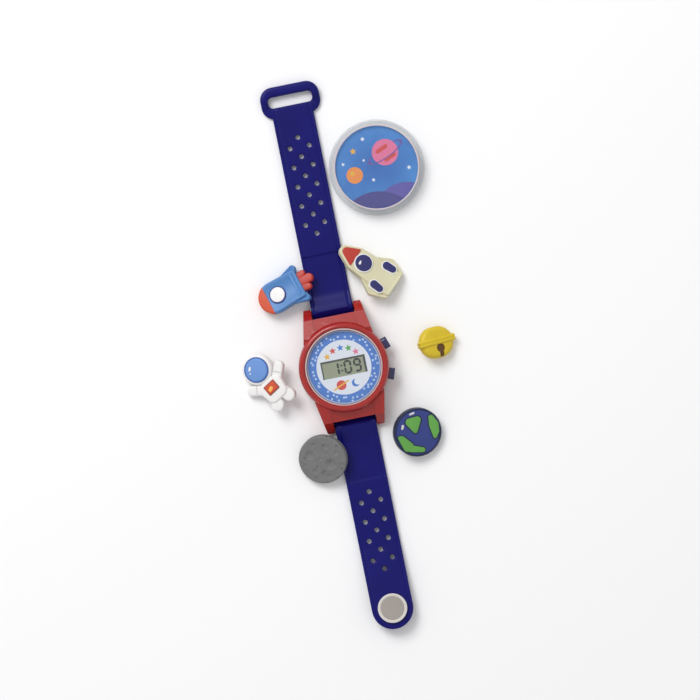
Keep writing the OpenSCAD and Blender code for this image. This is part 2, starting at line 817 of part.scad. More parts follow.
module shuttle_charm() {
    lie(shuttle_at, shuttle_turn, shuttle_lean, concat(shuttle_hull, shuttle_fin, mirrored(shuttle_fin))) {
        color("#ece6cf") linear_extrude(charm_t) disc_hull(shuttle_hull);
        color("#ece6cf") linear_extrude(charm_t * fin_share) {
            disc_hull(shuttle_fin);
            disc_hull(mirrored(shuttle_fin));
        }
        color("#23246e") porthole(shuttle_port);
    }
}

module bell_charm() {
    lie(bell_at, bell_turn, bell_lean, concat(bell_band, bell_body)) difference() {
        color("#f0d21e") union() {
            linear_extrude(charm_t) disc_hull(bell_body);
            linear_extrude(charm_t + relief_t) disc_hull(bell_band);
        }
        translate([slit_x, slit_y, charm_t - relief_t]) cylinder(r = slit_r, h = over);
        translate([slit_x - slit_w / 2, slit_y - slit_l, charm_t - relief_t]) cube([slit_w, slit_l, over]);
    }
}

module globe_charm() {
    lie(globe_at, globe_turn, globe_lean, disc_outline) {
        color("#2a4fae") cylinder(r = disc_r, h = charm_t - relief_t);
        color("#4fa645") translate([0, 0, charm_t - relief_t - root_t]) linear_extrude(relief_t + root_t)
            for (land = globe_lands) disc_hull(land);
    }
}

module moon_charm() {
    lie(moon_at, moon_turn, moon_lean, disc_outline) color("#9a9a9a") difference() {
        union() {
            cylinder(r = disc_r, h = charm_t - relief_t);
            translate([0, 0, charm_t - relief_t]) cylinder(r1 = disc_r, r2 = disc_r - relief_t, h = relief_t);
        }
        for (c = moon_craters) let (ball = (c[2] * c[2] + crater_depth * crater_depth) / (2 * crater_depth))
            translate([c[0], c[1], charm_t + ball - crater_depth]) sphere(ball);
    }
}

module astronaut_charm() {
    lie(figure_at, figure_turn, figure_lean,
        concat(figure_head, figure_body, figure_arm, mirrored_x(figure_arm),
            figure_leg, mirrored_x(figure_leg))) {
        color("#eceae6") linear_extrude(charm_t) {
            translate([0, head_y]) circle(head_r);
            disc_hull(figure_body);
        }
        color("#eceae6") linear_extrude(charm_t * limb_share) both_sides() {
            disc_hull(figure_arm);
            disc_hull(figure_leg);
        }
        color("#4d86d6") translate([0, head_y, charm_t - root_t])
            cylinder(r = visor_r, h = root_t + relief_t);
        color("#d9572f") translate([-badge_w / 2, badge_y - badge_h / 2, charm_t - root_t])
            cube([badge_w, badge_h, root_t + relief_t]);
    }
}

case_shell();
case_back();
back_screws();
lens();
dial_plate();
lcd_panel();
zebra_strip();
circuit_board();
board_screws();
chip_blob();
quartz_can();
module_holder();
button_cell();
cell_clip();
side_contacts();
upper_button();
upper_button_clip();
lower_button();
lower_button_clip();
strap_centre();
strap_loop_1();
strap_loop_2();
strap_loop_3();
strap_loop_end();
strap_tail_1();
strap_tail_2();
strap_tail_end();
closing_stud();
cover_cap();
cover_picture();
cover_face();
rocket_charm();
shuttle_charm();
bell_charm();
globe_charm();
moon_charm();
astronaut_charm();
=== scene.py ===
# %% [markdown]
# # A toy watch with plug-in charms
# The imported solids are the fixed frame. This lesson dresses them: it keeps the hard pieces whose shape
# is right, rounds their edges, and models the soft strap, the cover and the charms again as smooth
# meshes in the same place.

# %% Load the frame
import math

import bmesh
import bpy
from mathutils import Matrix, Vector


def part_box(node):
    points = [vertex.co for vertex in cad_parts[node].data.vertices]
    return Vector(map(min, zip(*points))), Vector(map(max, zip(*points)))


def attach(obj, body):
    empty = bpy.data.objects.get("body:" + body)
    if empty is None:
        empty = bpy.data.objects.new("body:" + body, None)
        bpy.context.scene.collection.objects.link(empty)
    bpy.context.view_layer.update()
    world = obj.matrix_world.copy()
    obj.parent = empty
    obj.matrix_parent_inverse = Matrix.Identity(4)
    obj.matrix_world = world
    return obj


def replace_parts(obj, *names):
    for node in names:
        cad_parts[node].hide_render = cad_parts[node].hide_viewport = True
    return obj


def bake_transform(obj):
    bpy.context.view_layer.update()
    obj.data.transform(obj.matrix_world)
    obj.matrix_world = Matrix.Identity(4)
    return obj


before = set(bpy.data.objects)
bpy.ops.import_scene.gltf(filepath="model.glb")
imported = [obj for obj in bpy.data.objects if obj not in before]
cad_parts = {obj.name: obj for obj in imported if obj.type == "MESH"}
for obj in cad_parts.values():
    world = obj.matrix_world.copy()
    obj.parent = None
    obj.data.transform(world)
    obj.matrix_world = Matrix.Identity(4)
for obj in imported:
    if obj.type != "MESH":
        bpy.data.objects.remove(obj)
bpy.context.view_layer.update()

MM = 0.001
scene = bpy.context.scene

# %% [markdown]
# ## Camera
# The watch is seen from straight above and from far away, so a long lens looks down along Z, turned by
# the angle at which the watch lies. A nearer camera with a wide lens would show the sides of the case,
# so it isn't used.

# %% Camera
FRAME_PX = 700
MM_PER_PX = 0.41
WATCH_TURN = math.radians(-11.4)
CAMERA_OVER = (3.8 * MM, 6.35 * MM)
CAMERA_HEIGHT = 1.2

lens_view = bpy.data.cameras.new("camera")
lens_view.lens = lens_view.sensor_width * CAMERA_HEIGHT / (FRAME_PX * MM_PER_PX * MM)
camera = bpy.data.objects.new("camera", lens_view)
camera.location = (*CAMERA_OVER, CAMERA_HEIGHT)
camera.rotation_euler = (0, 0, WATCH_TURN)
scene.collection.objects.link(camera)
scene.camera = camera
print("lens in mm:", round(lens_view.lens, 1))

# %% [markdown]
# ## Colours and nodes
# Colours are written as the hex values that a screen shows, and Blender's shaders work in linear light,
# so one function turns one into the other. Materials are node trees. One function adds a node with its
# inputs, and a short one for each common kind, such as a mix or a noise, gives that node's output. So a
# tree reads as a list.

# %% Colour and node helpers


def linear(code):
    """An sRGB hex colour as linear RGBA."""
    channels = [int(code[i:i + 2], 16) / 255 for i in (1, 3, 5)]
    return [c / 12.92 if c <= 0.04045 else ((c + 0.055) / 1.055) ** 2.4 for c in channels] + [1.0]


def feed(tree, node, inputs):
    """Gives a node its inputs. Each is a value, or another node's output to link."""
    for key, value in inputs.items():
        if isinstance(value, bpy.types.NodeSocket):
            tree.links.new(value, node.inputs[key])
        else:
            node.inputs[key].default_value = value


def add_node(tree, kind, inputs, **settings):
    """Adds a shader node of a kind, with its settings and its inputs."""
    made = tree.nodes.new("ShaderNode" + kind)
    for key, value in settings.items():
        setattr(made, key, value)
    feed(tree, made, inputs)
    return made


def new_material(name):
    """A material with one Principled shader, and the Object coordinates that its patterns read."""
    material = bpy.data.materials.new(name)
    material.use_nodes = True
    tree = material.node_tree
    tree.nodes.clear()
    shader = add_node(tree, "BsdfPrincipled", {})
    add_node(tree, "OutputMaterial", {"Surface": shader.outputs[0]})
    place = add_node(tree, "TexCoord", {}).outputs["Object"]
    return material, tree, shader, place


print("pure white is", linear("#ffffff"))

# %% Common nodes


def mixed(tree, share, first, second):
    """A colour between two, each a hex colour or another node's output."""
    first, second = (linear(c) if isinstance(c, str) else c for c in (first, second))
    return add_node(tree, "Mix", {0: share, 6: first, 7: second}, data_type="RGBA").outputs[2]


def ranged(tree, value, low, high):
    """A value from 0 to 1, spread from low to high."""
    return add_node(tree, "MapRange", {"Value": value, "To Min": low, "To Max": high}).outputs[0]


def noise(tree, place, size_mm, detail=3.0):
    """Noise whose patches are about size_mm wide."""
    return add_node(tree, "TexNoise", {"Vector": place, "Scale": 1 / (size_mm * MM),
                                       "Detail": detail}).outputs["Fac"]


def bumped(tree, height, strength, depth_mm):
    """A surface that rises and falls with a height."""
    return add_node(tree, "Bump", {"Height": height, "Strength": strength,
                                   "Distance": depth_mm * MM}).outputs[0]


def calc(tree, operation, *values):
    """The result of one operation on numbers."""
    return add_node(tree, "Math", dict(enumerate(values)), operation=operation).outputs[0]


print("noise 1 mm wide has a scale of", round(1 / MM))

# %% [markdown]
# ## Floor and light
# A pale sheet of paper takes the shadows. An even sky fills them, and one wide lamp from the loop's side
# picks out the slopes of the case. Together they give a plain level, at which a colour renders about as
# it is written. The sky is white to the camera, to reflections and through clear pieces.

# %% Floor
FLOOR_DROP = 0.05 * MM
FLOOR_SIDE = 3.0

bm = bmesh.new()
bmesh.ops.create_grid(bm, x_segments=1, y_segments=1, size=FLOOR_SIDE / 2)
bmesh.ops.translate(bm, vec=(0, 0, -FLOOR_DROP), verts=bm.verts)
floor_mesh = bpy.data.meshes.new("floor")
bm.to_mesh(floor_mesh)
bm.free()
floor = bpy.data.objects.new("floor", floor_mesh)
scene.collection.objects.link(floor)
floor_paper, tree, shader, _ = new_material("floor_paper")
feed(tree, shader, {"Base Color": linear("#fbfbfc"), "Roughness": 0.9})
floor_mesh.materials.append(floor_paper)
print("floor side in metres:", FLOOR_SIDE)

# %% Light
LAMP_AT = Vector((-0.45, 0.9, 1.12))
LAMP_SIDE = 0.75
LAMP_WATTS = 13.5
SKY_STRENGTH = 0.6

lamp_data = bpy.data.lights.new("window_lamp", "AREA")
lamp_data.energy = LAMP_WATTS
lamp_data.size = LAMP_SIDE
lamp = bpy.data.objects.new("window_lamp", lamp_data)
lamp.location = LAMP_AT
lamp.rotation_euler = LAMP_AT.to_track_quat("Z", "Y").to_euler()
scene.collection.objects.link(lamp)

world = bpy.data.worlds.new("sky")
world.use_nodes = True
scene.world = world
sky = world.node_tree
sky.nodes.clear()
rays = add_node(sky, "LightPath", {}).outputs
direct = calc(sky, "MAXIMUM", rays["Is Camera Ray"], rays["Is Glossy Ray"])
seen = calc(sky, "MAXIMUM", direct, rays["Is Transmission Ray"])
level = ranged(sky, seen, SKY_STRENGTH, 1.0)
even = add_node(sky, "Background", {"Color": (1, 1, 1, 1), "Strength": level})
add_node(sky, "OutputWorld", {"Surface": even.outputs[0]})
scene.view_settings.view_transform = "Standard"
print("lamp in watts:", lamp_data.energy)

# %% [markdown]
# ## Moulded plastics
# Every coloured piece of this watch is moulded: hard ABS for the case and the buttons, soft PVC for the
# strap and the charms. A moulded skin copies the tool's fine grain, and its colour drifts a little where
# the wall is thick or thin. One function makes them all, with the grain and the drift given in
# millimetres. The real grain is finer than a render shows, so it is drawn at about half a millimetre.

# %% Moulded material
GRAIN_DEPTH = 0.06
POLISH_BELOW = 0.06
POLISH_ABOVE = 0.08
PLASTIC_IOR = 1.53
COAT_ROUGH = 0.08


def moulded(name, base, pale, rough, grain_mm=0.6, bump=0.25, drift_mm=7.0, coat=0.0, shine=0.4):
    """Grain of about grain_mm in bump and polish, and colour that drifts over about drift_mm."""
    material, tree, shader, place = new_material(name)
    tint = mixed(tree, noise(tree, place, drift_mm, 2.0), base, pale)
    grain = noise(tree, place, grain_mm)
    polish = ranged(tree, grain, rough - POLISH_BELOW, rough + POLISH_ABOVE)
    dents = bumped(tree, grain, bump, GRAIN_DEPTH)
    feed(tree, shader, {"Base Color": tint, "Roughness": polish, "Normal": dents, "IOR": PLASTIC_IOR,
                        "Specular IOR Level": shine, "Coat Weight": coat, "Coat Roughness": COAT_ROUGH})
    return material


print("grain depth in mm:", GRAIN_DEPTH)

# %% Plastics of the watch and the charms
# ABS: hard and glossy, with a clear skin that gives sharp highlights.
red_abs = moulded("red_abs", "#94120d", "#a91a13", 0.22, 0.5, 0.12, coat=0.3, shine=0.3)
back_abs = moulded("red_abs_satin", "#86110e", "#991914", 0.4, 0.4, 0.3)
navy_abs = moulded("navy_abs", "#121145", "#191757", 0.25, 0.5, 0.12, coat=0.3)
white_abs = moulded("white_abs", "#d8d6ce", "#e4e2da", 0.35, 0.5, 0.15)
# Polypropylene: waxy and pale, a little yellow where it is thick. The darker one is painted shade in the
# dish.
stud_pp = moulded("off_white_polypropylene", "#cbc6c0", "#d6d1cb", 0.38, bump=0.2)
stud_dish_shade_pp = moulded("polypropylene_dish_shade", "#968f89", "#a29b95", 0.45, bump=0.3)
# PVC: soft, with a satin skin and a slow drift of colour.
strap_pvc = moulded("royal_blue_pvc", "#0b0a58", "#11106d", 0.34, 0.7, 0.22, drift_mm=12, shine=0.14)
rocket_pvc = moulded("mid_blue_pvc", "#4577b2", "#5487c1", 0.42)
red_pvc = moulded("red_pvc", "#ae2f26", "#bb3d30", 0.42)
cream_pvc = moulded("cream_pvc", "#cfcaa6", "#dbd6b6", 0.44)
navy_pvc = moulded("navy_pvc", "#1d1d56", "#28286a", 0.38)
white_pvc = moulded("white_pvc", "#e4e2e1", "#efedec", 0.44)
pale_grey_pvc = moulded("pale_grey_pvc", "#cfcccd", "#dad7d8", 0.46)
yellow_pvc = moulded("yellow_pvc", "#cdb01a", "#dac02a", 0.42)
brown_pvc = moulded("brown_pvc", "#4f3512", "#62421a", 0.5)
sea_pvc = moulded("sea_blue_pvc", "#253274", "#2e3e88", 0.42)
outline_pvc = moulded("dark_outline_pvc", "#131e38", "#1a2745", 0.44)
green_pvc = moulded("leaf_green_pvc", "#56993f", "#68aa4e", 0.44)
visor_pvc = moulded("visor_blue_pvc", "#5f88c8", "#6f98d4", 0.36, bump=0.2)
visor_edge_pvc = moulded("deep_blue_pvc", "#34589c", "#4066ab", 0.38)
orange_red_pvc = moulded("orange_red_pvc", "#c24527", "#cd5431", 0.42)
badge_edge_pvc = moulded("brick_red_pvc", "#7d2419", "#8b2d20", 0.44)
amber_pvc = moulded("amber_pvc", "#ebab4c", "#f2bc63", 0.42)
print("moulded materials:", len(bpy.data.materials))

# %% [markdown]
# ## Clear plastics and metals
# The lens and the dome are polished acrylic, and the cover's cap is clear polystyrene. A clear wall
# could bend the light, but then it throws a dark shadow on what lies under it. Here it is nearly
# see-through where it faces the eye and fills in where it turns away, which draws the pale edges that
# show a clear piece. The plated steel and the rolled brass inside keep the metal's default index and
# take fine streaks.

# %% Clear and metal materials
CLEAR_IOR = 1.49
HAZE_MM = 4.0
TURN_BLEND = 0.4
STREAK_DRAW = 0.05
STREAK_POLISH = 0.08


def clear_plastic(name, tint, rough, haze, facing, turned):
    """A clear wall: how much of it shows where it faces the eye, and where it turns away."""
    material, tree, shader, place = new_material(name)
    slant = add_node(tree, "LayerWeight", {"Blend": TURN_BLEND}).outputs["Facing"]
    shown = ranged(tree, slant, facing, turned)
    polish = ranged(tree, noise(tree, place, HAZE_MM, 2.0), rough, rough + haze)
    feed(tree, shader, {"Base Color": linear(tint), "Alpha": shown, "Roughness": polish,
                        "IOR": CLEAR_IOR})
    return material


def streaked_metal(name, base, pale, rough, streak_mm):
    """A metal with the fine streaks of rolling or plating along X."""
    material, tree, shader, place = new_material(name)
    stretch = add_node(tree, "Mapping", {"Vector": place, "Scale": (STREAK_DRAW, 1, 1)})
    streak = noise(tree, stretch.outputs[0], streak_mm)
    tint = mixed(tree, streak, base, pale)
    polish = ranged(tree, streak, rough - STREAK_POLISH, rough + STREAK_POLISH)
    feed(tree, shader, {"Base Color": tint, "Roughness": polish, "Metallic": 1.0})
    return material


lens_acrylic = clear_plastic("clear_acrylic", "#c2ccd4", 0.03, 0.03, 0.04, 0.15)
dome_acrylic = clear_plastic("clear_acrylic_dome", "#c2ccd6", 0.04, 0.03, 0.04, 0.25)
# Painted highlight: a pale, nearly opaque film for the bright line that an edge of clear plastic shows.
edge_highlight_acrylic = clear_plastic("acrylic_edge_painted_highlight", "#e6d6d6", 0.3, 0.1, 0.75, 0.9)
cover_styrene = clear_plastic("clear_polystyrene", "#d8dcdf", 0.05, 0.05, 0.1, 0.55)
plated_steel = streaked_metal("plated_steel", "#b4b7ba", "#cfd2d4", 0.3, 0.15)
spring_brass = streaked_metal("spring_brass", "#b08a3c", "#c9a551", 0.3, 0.12)
print("clear and metal materials made")

# %% [markdown]
# ## Modelling helpers
# A piece is modelled in millimetres in a bmesh, then scaled to metres with its place in its mesh. A flat
# shape gets its thickness from an extrusion. Edges that turn sharply are found by the angle between
# their faces and rounded with a bevel, because every moulded edge has a small radius.

# %% Finish a piece
SHARP = math.radians(40)
CREASE = math.radians(35)
NEAR = 0.001


def make_piece(bm, name, material, body, matrix=None):
    """Turns a bmesh in millimetres into a smooth piece that rides on a body."""
    if matrix is not None:
        bm.transform(matrix)
    bmesh.ops.scale(bm, vec=(MM, MM, MM), verts=bm.verts)
    bmesh.ops.recalc_face_normals(bm, faces=bm.faces)
    mesh = bpy.data.meshes.new(name)
    bm.to_mesh(mesh)
    bm.free()
    mesh.shade_smooth()
    mesh.set_sharp_from_angle(angle=CREASE)
    mesh.materials.append(material)
    made = bpy.data.objects.new(name, mesh)
    scene.collection.objects.link(made)
    if body:
        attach(made, body)
    return made


def thicken(bm, height):
    """Raises a flat shape by a height, and gives its upper vertices."""
    raised = bmesh.ops.extrude_face_region(bm, geom=bm.faces[:], use_keep_orig=True)
    upper = [v for v in raised["geom"] if isinstance(v, bmesh.types.BMVert)]
    bmesh.ops.translate(bm, vec=(0, 0, height), verts=upper)
    return upper


def bevel_edges(bm, offset, segments, chosen=None):
    """Rounds the sharp edges, or the sharp ones among those chosen."""
    edges = [e for e in (chosen or bm.edges) if e.is_manifold and e.calc_face_angle(0) > SHARP]
    bmesh.ops.bevel(bm, geom=edges, offset=offset, offset_type="OFFSET", segments=segments, profile=0.5,
                    affect="EDGES", material=-1, clamp_overlap=True)


print("edges are rounded from", round(math.degrees(SHARP)), "degrees")

# %% [markdown]
# ## The plan of the strap
# The strap is one soft moulding. It runs under the case, rises over a cross bar at each end, and is
# thinner in the middle. Three staggered columns of holes take pegs, and a fine groove follows each edge.
# A Boolean could punch the holes, but it leaves long thin faces that crease when the strap bends. So a
# flat grid is the plan: its lines crowd round each hole, and a hole is a missing patch whose rim is
# pushed to a circle.

# %% Strap values
STRAP_W = (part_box("strap_loop_2")[1].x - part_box("strap_loop_2")[0].x) / MM
STRAP_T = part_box("strap_loop_2")[1].z / MM
STEP_T = 0.4
STEP_Y = 47.0
HOLE_R = 1.0
ROW_PITCH = 4.0
LOOP_ROWS = [56 + ROW_PITCH * i for i in range(11)]
TAIL_ROWS = [52 + ROW_PITCH * i for i in range(9)]
GROOVE_X = STRAP_W / 2 - 1.3
GROOVE_W = 0.6
GROOVE_DEPTH = 0.14
EDGE_ROUND = 0.3
SEAMS = (0, 42, 62, 66, 86)
HOLE_STEPS = 8
PLAIN_STEP = 1.5
MARKS = [ROW_PITCH / 2 * math.tan(math.radians(90 * i / HOLE_STEPS - 45))
         for i in range(HOLE_STEPS + 1)]
print("strap in mm:", round(STRAP_W, 2), "by", round(STRAP_T, 2))

# %% Lines of the plan


def column_lines():
    """Lines along the strap: close round the three columns of holes, then across the edge groove."""
    inner = [c * ROW_PITCH + m for c in (-1, 0, 1) for m in MARKS[:-1]] + [1.5 * ROW_PITCH]
    outer = [GROOVE_X - GROOVE_W / 2, GROOVE_X, GROOVE_X + GROOVE_W / 2, STRAP_W / 2]
    return [-x for x in reversed(outer)] + inner + outer


def station_lines(start, end, rows, stops):
    """Lines across the strap: close round each row of holes, evenly spaced between rows and stops."""
    lines = [start]
    for y in sorted([*rows, *stops, end]):
        half = ROW_PITCH / 2 if y in rows else 0
        first = lines[-1]
        span = y - half - first
        if span > NEAR:
            count = max(1, round(span / PLAIN_STEP))
            lines.extend(first + span * (i + 1) / count for i in range(count))
        if half:
            lines.extend(y + m for m in MARKS[1:])
    return lines


print("lines along the strap:", len(column_lines()))

# %% [markdown]
# ## From the plan to the strap
# The plan is extruded to its thickness and its edges are rounded. Then each vertex is moved: down into
# the edge groove, in to the rounded tail, up over the cross bar, and up with the tail, which the stud's
# peg holds off the table. Moving vertices by a smooth rule keeps the strap one even skin.

# %% How the strap lies
BAR_Y = 23.8
RISE_FROM = 20.4
FALL_TO = 31.2
CREST = 2.25
STUD_Y = 100.6
TAIL_R = STRAP_W / 2
LIFT_Y = 74.0
LIFT_RAMP = 3.0
TAIL_LIFT = math.radians(6.25)
LINE_NEAR = 0.05


def smooth(t):
    """Eases from 0 to 1."""
    t = min(1.0, max(0.0, t))
    return t * t * (3 - 2 * t)


def hump(y):
    """Height of the strap's underside where it rides over a cross bar."""
    y = abs(y)
    if y <= RISE_FROM or y >= FALL_TO:
        return 0.0
    foot = RISE_FROM if y < BAR_Y else FALL_TO
    return CREST * (1 + math.cos(math.pi * (y - BAR_Y) / (foot - BAR_Y))) / 2


def settle(point, side):
    """Where a point of the flat strap lies on the watch."""
    x, y, z = point
    if abs(abs(x) - GROOVE_X) < LINE_NEAR and z > STRAP_T / 2:
        z -= GROOVE_DEPTH
    past = (y - STUD_Y) / TAIL_R
    if side < 0 and past > 0:
        x *= math.sqrt(max(0.0, 1 - past * past))
    laid = Vector((x, side * y, z + hump(y)))
    turn = TAIL_LIFT * smooth((-laid.y - LIFT_Y + LIFT_RAMP) / (2 * LIFT_RAMP))
    pivot = Vector((0, -LIFT_Y, STRAP_T))
    return pivot + Matrix.Rotation(-turn, 3, "X") @ (laid - pivot)


print("strap rises over a bar by mm:", hump(BAR_Y))

# %% One length of strap


def punch(bm, at):
    """Takes a patch out of the plan and pushes its rim to a circle."""
    patch = MARKS[-2]
    gone = [f for f in bm.faces if max(abs(c) for c in (f.calc_center_median() - at)[:2]) < patch]
    bmesh.ops.delete(bm, geom=gone, context="FACES")
    for v in bm.verts:
        out = v.co - at
        if max(abs(out.x), abs(out.y)) < patch + NEAR:
            v.co = at + out.normalized() * HOLE_R


def strap_length(start, end, rows, all_rows, side, stops):
    """One length of strap from start to end, as distances from the middle, on one side of the case."""
    xs = column_lines()
    ys = station_lines(start, end, rows, stops)
    bm = bmesh.new()
    bmesh.ops.create_grid(bm, x_segments=len(xs) - 1, y_segments=len(ys) - 1, size=0.5)
    for v in bm.verts:
        across = round((v.co.x + 0.5) * (len(xs) - 1))
        along = round((v.co.y + 0.5) * (len(ys) - 1))
        v.co = (xs[across], ys[along], 0)
    for y in rows:
        for x in ([0] if all_rows.index(y) % 2 == 0 else [-ROW_PITCH, ROW_PITCH]):
            punch(bm, Vector((x, y, 0)))
    for v in thicken(bm, STRAP_T):
        v.co.z -= STEP_T if v.co.y < STEP_Y else 0
    bmesh.ops.recalc_face_normals(bm, faces=bm.faces)
    cut_ends = [e for e in bm.edges for y in SEAMS if all(abs(v.co.y - y) < NEAR for v in e.verts)]
    bevel_edges(bm, EDGE_ROUND, 3, list(set(bm.edges) - set(cut_ends)))
    for v in bm.verts:
        v.co = settle(v.co, side)
    return bm


print("the strap is cut in mm at:", SEAMS)

# %% [markdown]
# ## The strap in lengths
# The strap bends at several joints, and a piece can bend across only one. So it is made in lengths that
# meet where the strap stays straight, in the middle of a link.

# %% Strap pieces
TIP_TURN = 84
TIP_Y = STUD_Y + TAIL_R * math.sin(math.radians(TIP_TURN))
TIP_STOPS = [STUD_Y + TAIL_R * math.sin(math.radians(a)) for a in range(0, TIP_TURN, 12)]
STEP_STOPS = [STEP_Y - 0.1, STEP_Y + 0.1]
LENGTHS = [
    ("strap_over_loop_bar", 0, 42, 1, "case", "loop_link_1", 26.5, 39, ("strap_centre", "strap_loop_1")),
    ("strap_loop_first", 42, 66, 1, "loop_link_1", "loop_link_2", 49, 59, ("strap_loop_2",)),
    ("strap_loop_second", 66, 86, 1, "loop_link_2", "loop_link_3", 69, 79, ("strap_loop_3",)),
    ("strap_loop_foot", 86, 109.3, 1, "loop_link_3", "loop_end", 89, 99, ("strap_loop_end",)),
    ("strap_over_tail_bar", 0, 42, -1, "case", "tail_link_1", 26.5, 39, ("strap_tail_1",)),
    ("strap_tail_first", 42, 62, -1, "tail_link_1", "tail_link_2", 49, 59, ("strap_tail_2",)),
    ("strap_tail_tip", 62, TIP_Y, -1, "tail_link_2", "tail_end", 69, 79, ("strap_tail_end",)),
]
for name, start, end, side, near_body, far_body, bend_from, bend_to, nodes in LENGTHS:
    all_rows = LOOP_ROWS if side > 0 else TAIL_ROWS
    rows = [y for y in all_rows if start < y < end]
    stops = [y for y in STEP_STOPS + (TIP_STOPS if side < 0 else []) if start < y < end]
    length = strap_length(start, end, rows, all_rows, side, stops)
    strap = make_piece(length, name, strap_pvc, None)
    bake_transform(strap)
    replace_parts(strap, *nodes)
    print(name, len(strap.data.polygons), "faces")

# %% [markdown]
# ## The loop
# The far end of the strap is a rounded loop that the tail is fed through. Two rounded rectangles, each a
# square whose corners are bevelled, are bridged into a ring. The ring is raised and its rims are rounded
# until it reads as a soft bar. Its foot is pressed down into the strap, which runs flat to the edge of
# the slot.

# %% Loop ring
LOOP_END_Y = 118.0
LOOP_SIZE = (24.4, 13.0)
LOOP_T = 3.6
SLOT_SIZE = (18.2, 4.4)
SLOT_Y = 111.7
CORNER_SHARE = 0.4
LOOP_ROUND = 1.2
FOOT_SINK = 0.06
FOOT_T = STRAP_T - GROOVE_DEPTH - 2 * FOOT_SINK


def rounded_outline(bm, size, centre_y):
    """The edges of a rounded rectangle."""
    before = set(bm.edges)
    made = bmesh.ops.create_grid(bm, x_segments=1, y_segments=1, size=0.5)
    bmesh.ops.scale(bm, vec=(*size, 1), verts=made["verts"])
    bmesh.ops.translate(bm, vec=(0, centre_y, 0), verts=made["verts"])
    bmesh.ops.bevel(bm, geom=made["verts"], offset=min(size) * CORNER_SHARE, offset_type="OFFSET",
                    segments=8, profile=0.5, affect="VERTICES", material=-1)
    bmesh.ops.delete(bm, geom=bm.faces[:], context="FACES_ONLY")
    return [e for e in bm.edges if e not in before]


bm = bmesh.new()
outer = rounded_outline(bm, LOOP_SIZE, LOOP_END_Y - LOOP_SIZE[1] / 2)
slot = rounded_outline(bm, SLOT_SIZE, SLOT_Y)
bmesh.ops.bridge_loops(bm, edges=outer + slot)
thicken(bm, LOOP_T)
bmesh.ops.recalc_face_normals(bm, faces=bm.faces)
bevel_edges(bm, LOOP_ROUND, 5)
for v in bm.verts:
    pressed = smooth((SLOT_Y - v.co.y) / (SLOT_SIZE[1] / 2))
    v.co.z *= 1 + (FOOT_T / LOOP_T - 1) * pressed
    v.co.z += FOOT_SINK * pressed
loop_ring = make_piece(bm, "strap_loop_ring", strap_pvc, "loop_end")
print("loop ring", len(loop_ring.data.polygons), "faces")

# %% [markdown]
# ## The case and its inside
# The hard pieces keep their solids. Weld joins the loose triangles, and a Bevel limited by angle gives
# each sharp edge the small radius of a moulding, which is what catches the light. Round pieces are a
# profile spun about Z. A thin pale ring spun from the lens's corner is a painted highlight along its
# edge.

# %% Case helpers
WELD_GAP = 0.002


def soften(node, material, width, segments=3):
    """A CAD node that stays: its material, and the small radius that moulding leaves on its edges."""
    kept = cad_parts[node]
    kept.data.materials.clear()
    kept.data.materials.append(material)
    if width:
        weld = kept.modifiers.new("weld", "WELD")
        weld.merge_threshold = WELD_GAP * MM
        rim = kept.modifiers.new("rim", "BEVEL")
        rim.width = width * MM
        rim.segments = segments
        rim.limit_method = "ANGLE"
        rim.angle_limit = SHARP
        rim.harden_normals = True


def lathe(profile, steps=96, offset=0.0):
    """A profile of (radius, height) points, spun about Z, with its sharp rims rounded."""
    bm = bmesh.new()
    points = [bm.verts.new((r, 0, z)) for r, z in profile]
    edges = [bm.edges.new(pair) for pair in zip(points, points[1:])]
    bmesh.ops.spin(bm, geom=points + edges, cent=(0, 0, 0), axis=(0, 0, 1), angle=2 * math.pi,
                   steps=steps, use_merge=True)
    bmesh.ops.remove_doubles(bm, verts=bm.verts, dist=NEAR)
    bmesh.ops.recalc_face_normals(bm, faces=bm.faces)
    if offset:
        bevel_edges(bm, offset, 3)
    return bm


print("points nearer than", NEAR, "mm are joined")

# %% Case
soften("case_shell", red_abs, 0.3)
soften("case_back", back_abs, 0.25)
soften("back_screws", plated_steel, 0.12)
soften("lens", lens_acrylic, 0)
soften("module_holder", white_abs, 0)
for node in ("button_cell", "board_screws", "quartz_can", "upper_button_clip", "lower_button_clip"):
    soften(node, plated_steel, 0)
for node in ("cell_clip", "side_contacts"):
    soften(node, spring_brass, 0)
for node in ("upper_button", "lower_button"):
    soften(node, navy_abs, 0.45, 4)

LENS_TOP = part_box("lens")[1].z / MM
LENS_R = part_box("lens")[1].x / MM
edge = [(LENS_R - 0.55, LENS_TOP), (LENS_R - 0.3, LENS_TOP + 0.03), (LENS_R - 0.02, LENS_TOP - 0.25),
        (LENS_R - 0.3, LENS_TOP - 0.3), (LENS_R - 0.55, LENS_TOP)]
# Painted highlight: a pale ring on the lens's corner.
make_piece(lathe(edge), "lens_edge", edge_highlight_acrylic, "case")
print("case pieces finished")

# %% [markdown]
# ## Board, chip and rubber strip
# The board is glass and epoxy under green solder mask, with copper tracks that show as paler lines. The
# chip is a drop of black epoxy. The rubber strip is layered, conductive and clear in turn. Its layers
# are finer than a render shows, so they are drawn a quarter of a millimetre apart.

# %% Board materials
WAVE_REPEAT = 0.314


def striped(name, base, pale, pitch_mm, rough, across):
    """Parallel stripes at a pitch in millimetres, a little raised."""
    material, tree, shader, place = new_material(name)
    wave = add_node(tree, "TexWave", {
        "Vector": place, "Scale": WAVE_REPEAT / (pitch_mm * MM), "Distortion": 1.5, "Detail": 1.0
    }, bands_direction=across).outputs["Fac"]
    tint = mixed(tree, wave, base, pale)
    feed(tree, shader, {"Base Color": tint, "Normal": bumped(tree, wave, 0.2, 0.03), "Roughness": rough})
    return material


soften("circuit_board", striped("solder_mask", "#1f6a30", "#3f9048", 0.9, 0.35, "DIAGONAL"), 0)
soften("zebra_strip", striped("zebra_rubber", "#c98a98", "#3c3436", 0.25, 0.6, "X"), 0)
soften("chip_blob", moulded("black_epoxy", "#101010", "#1c1c1c", 0.25, 0.5, 0.3), 0)
print("board finished")

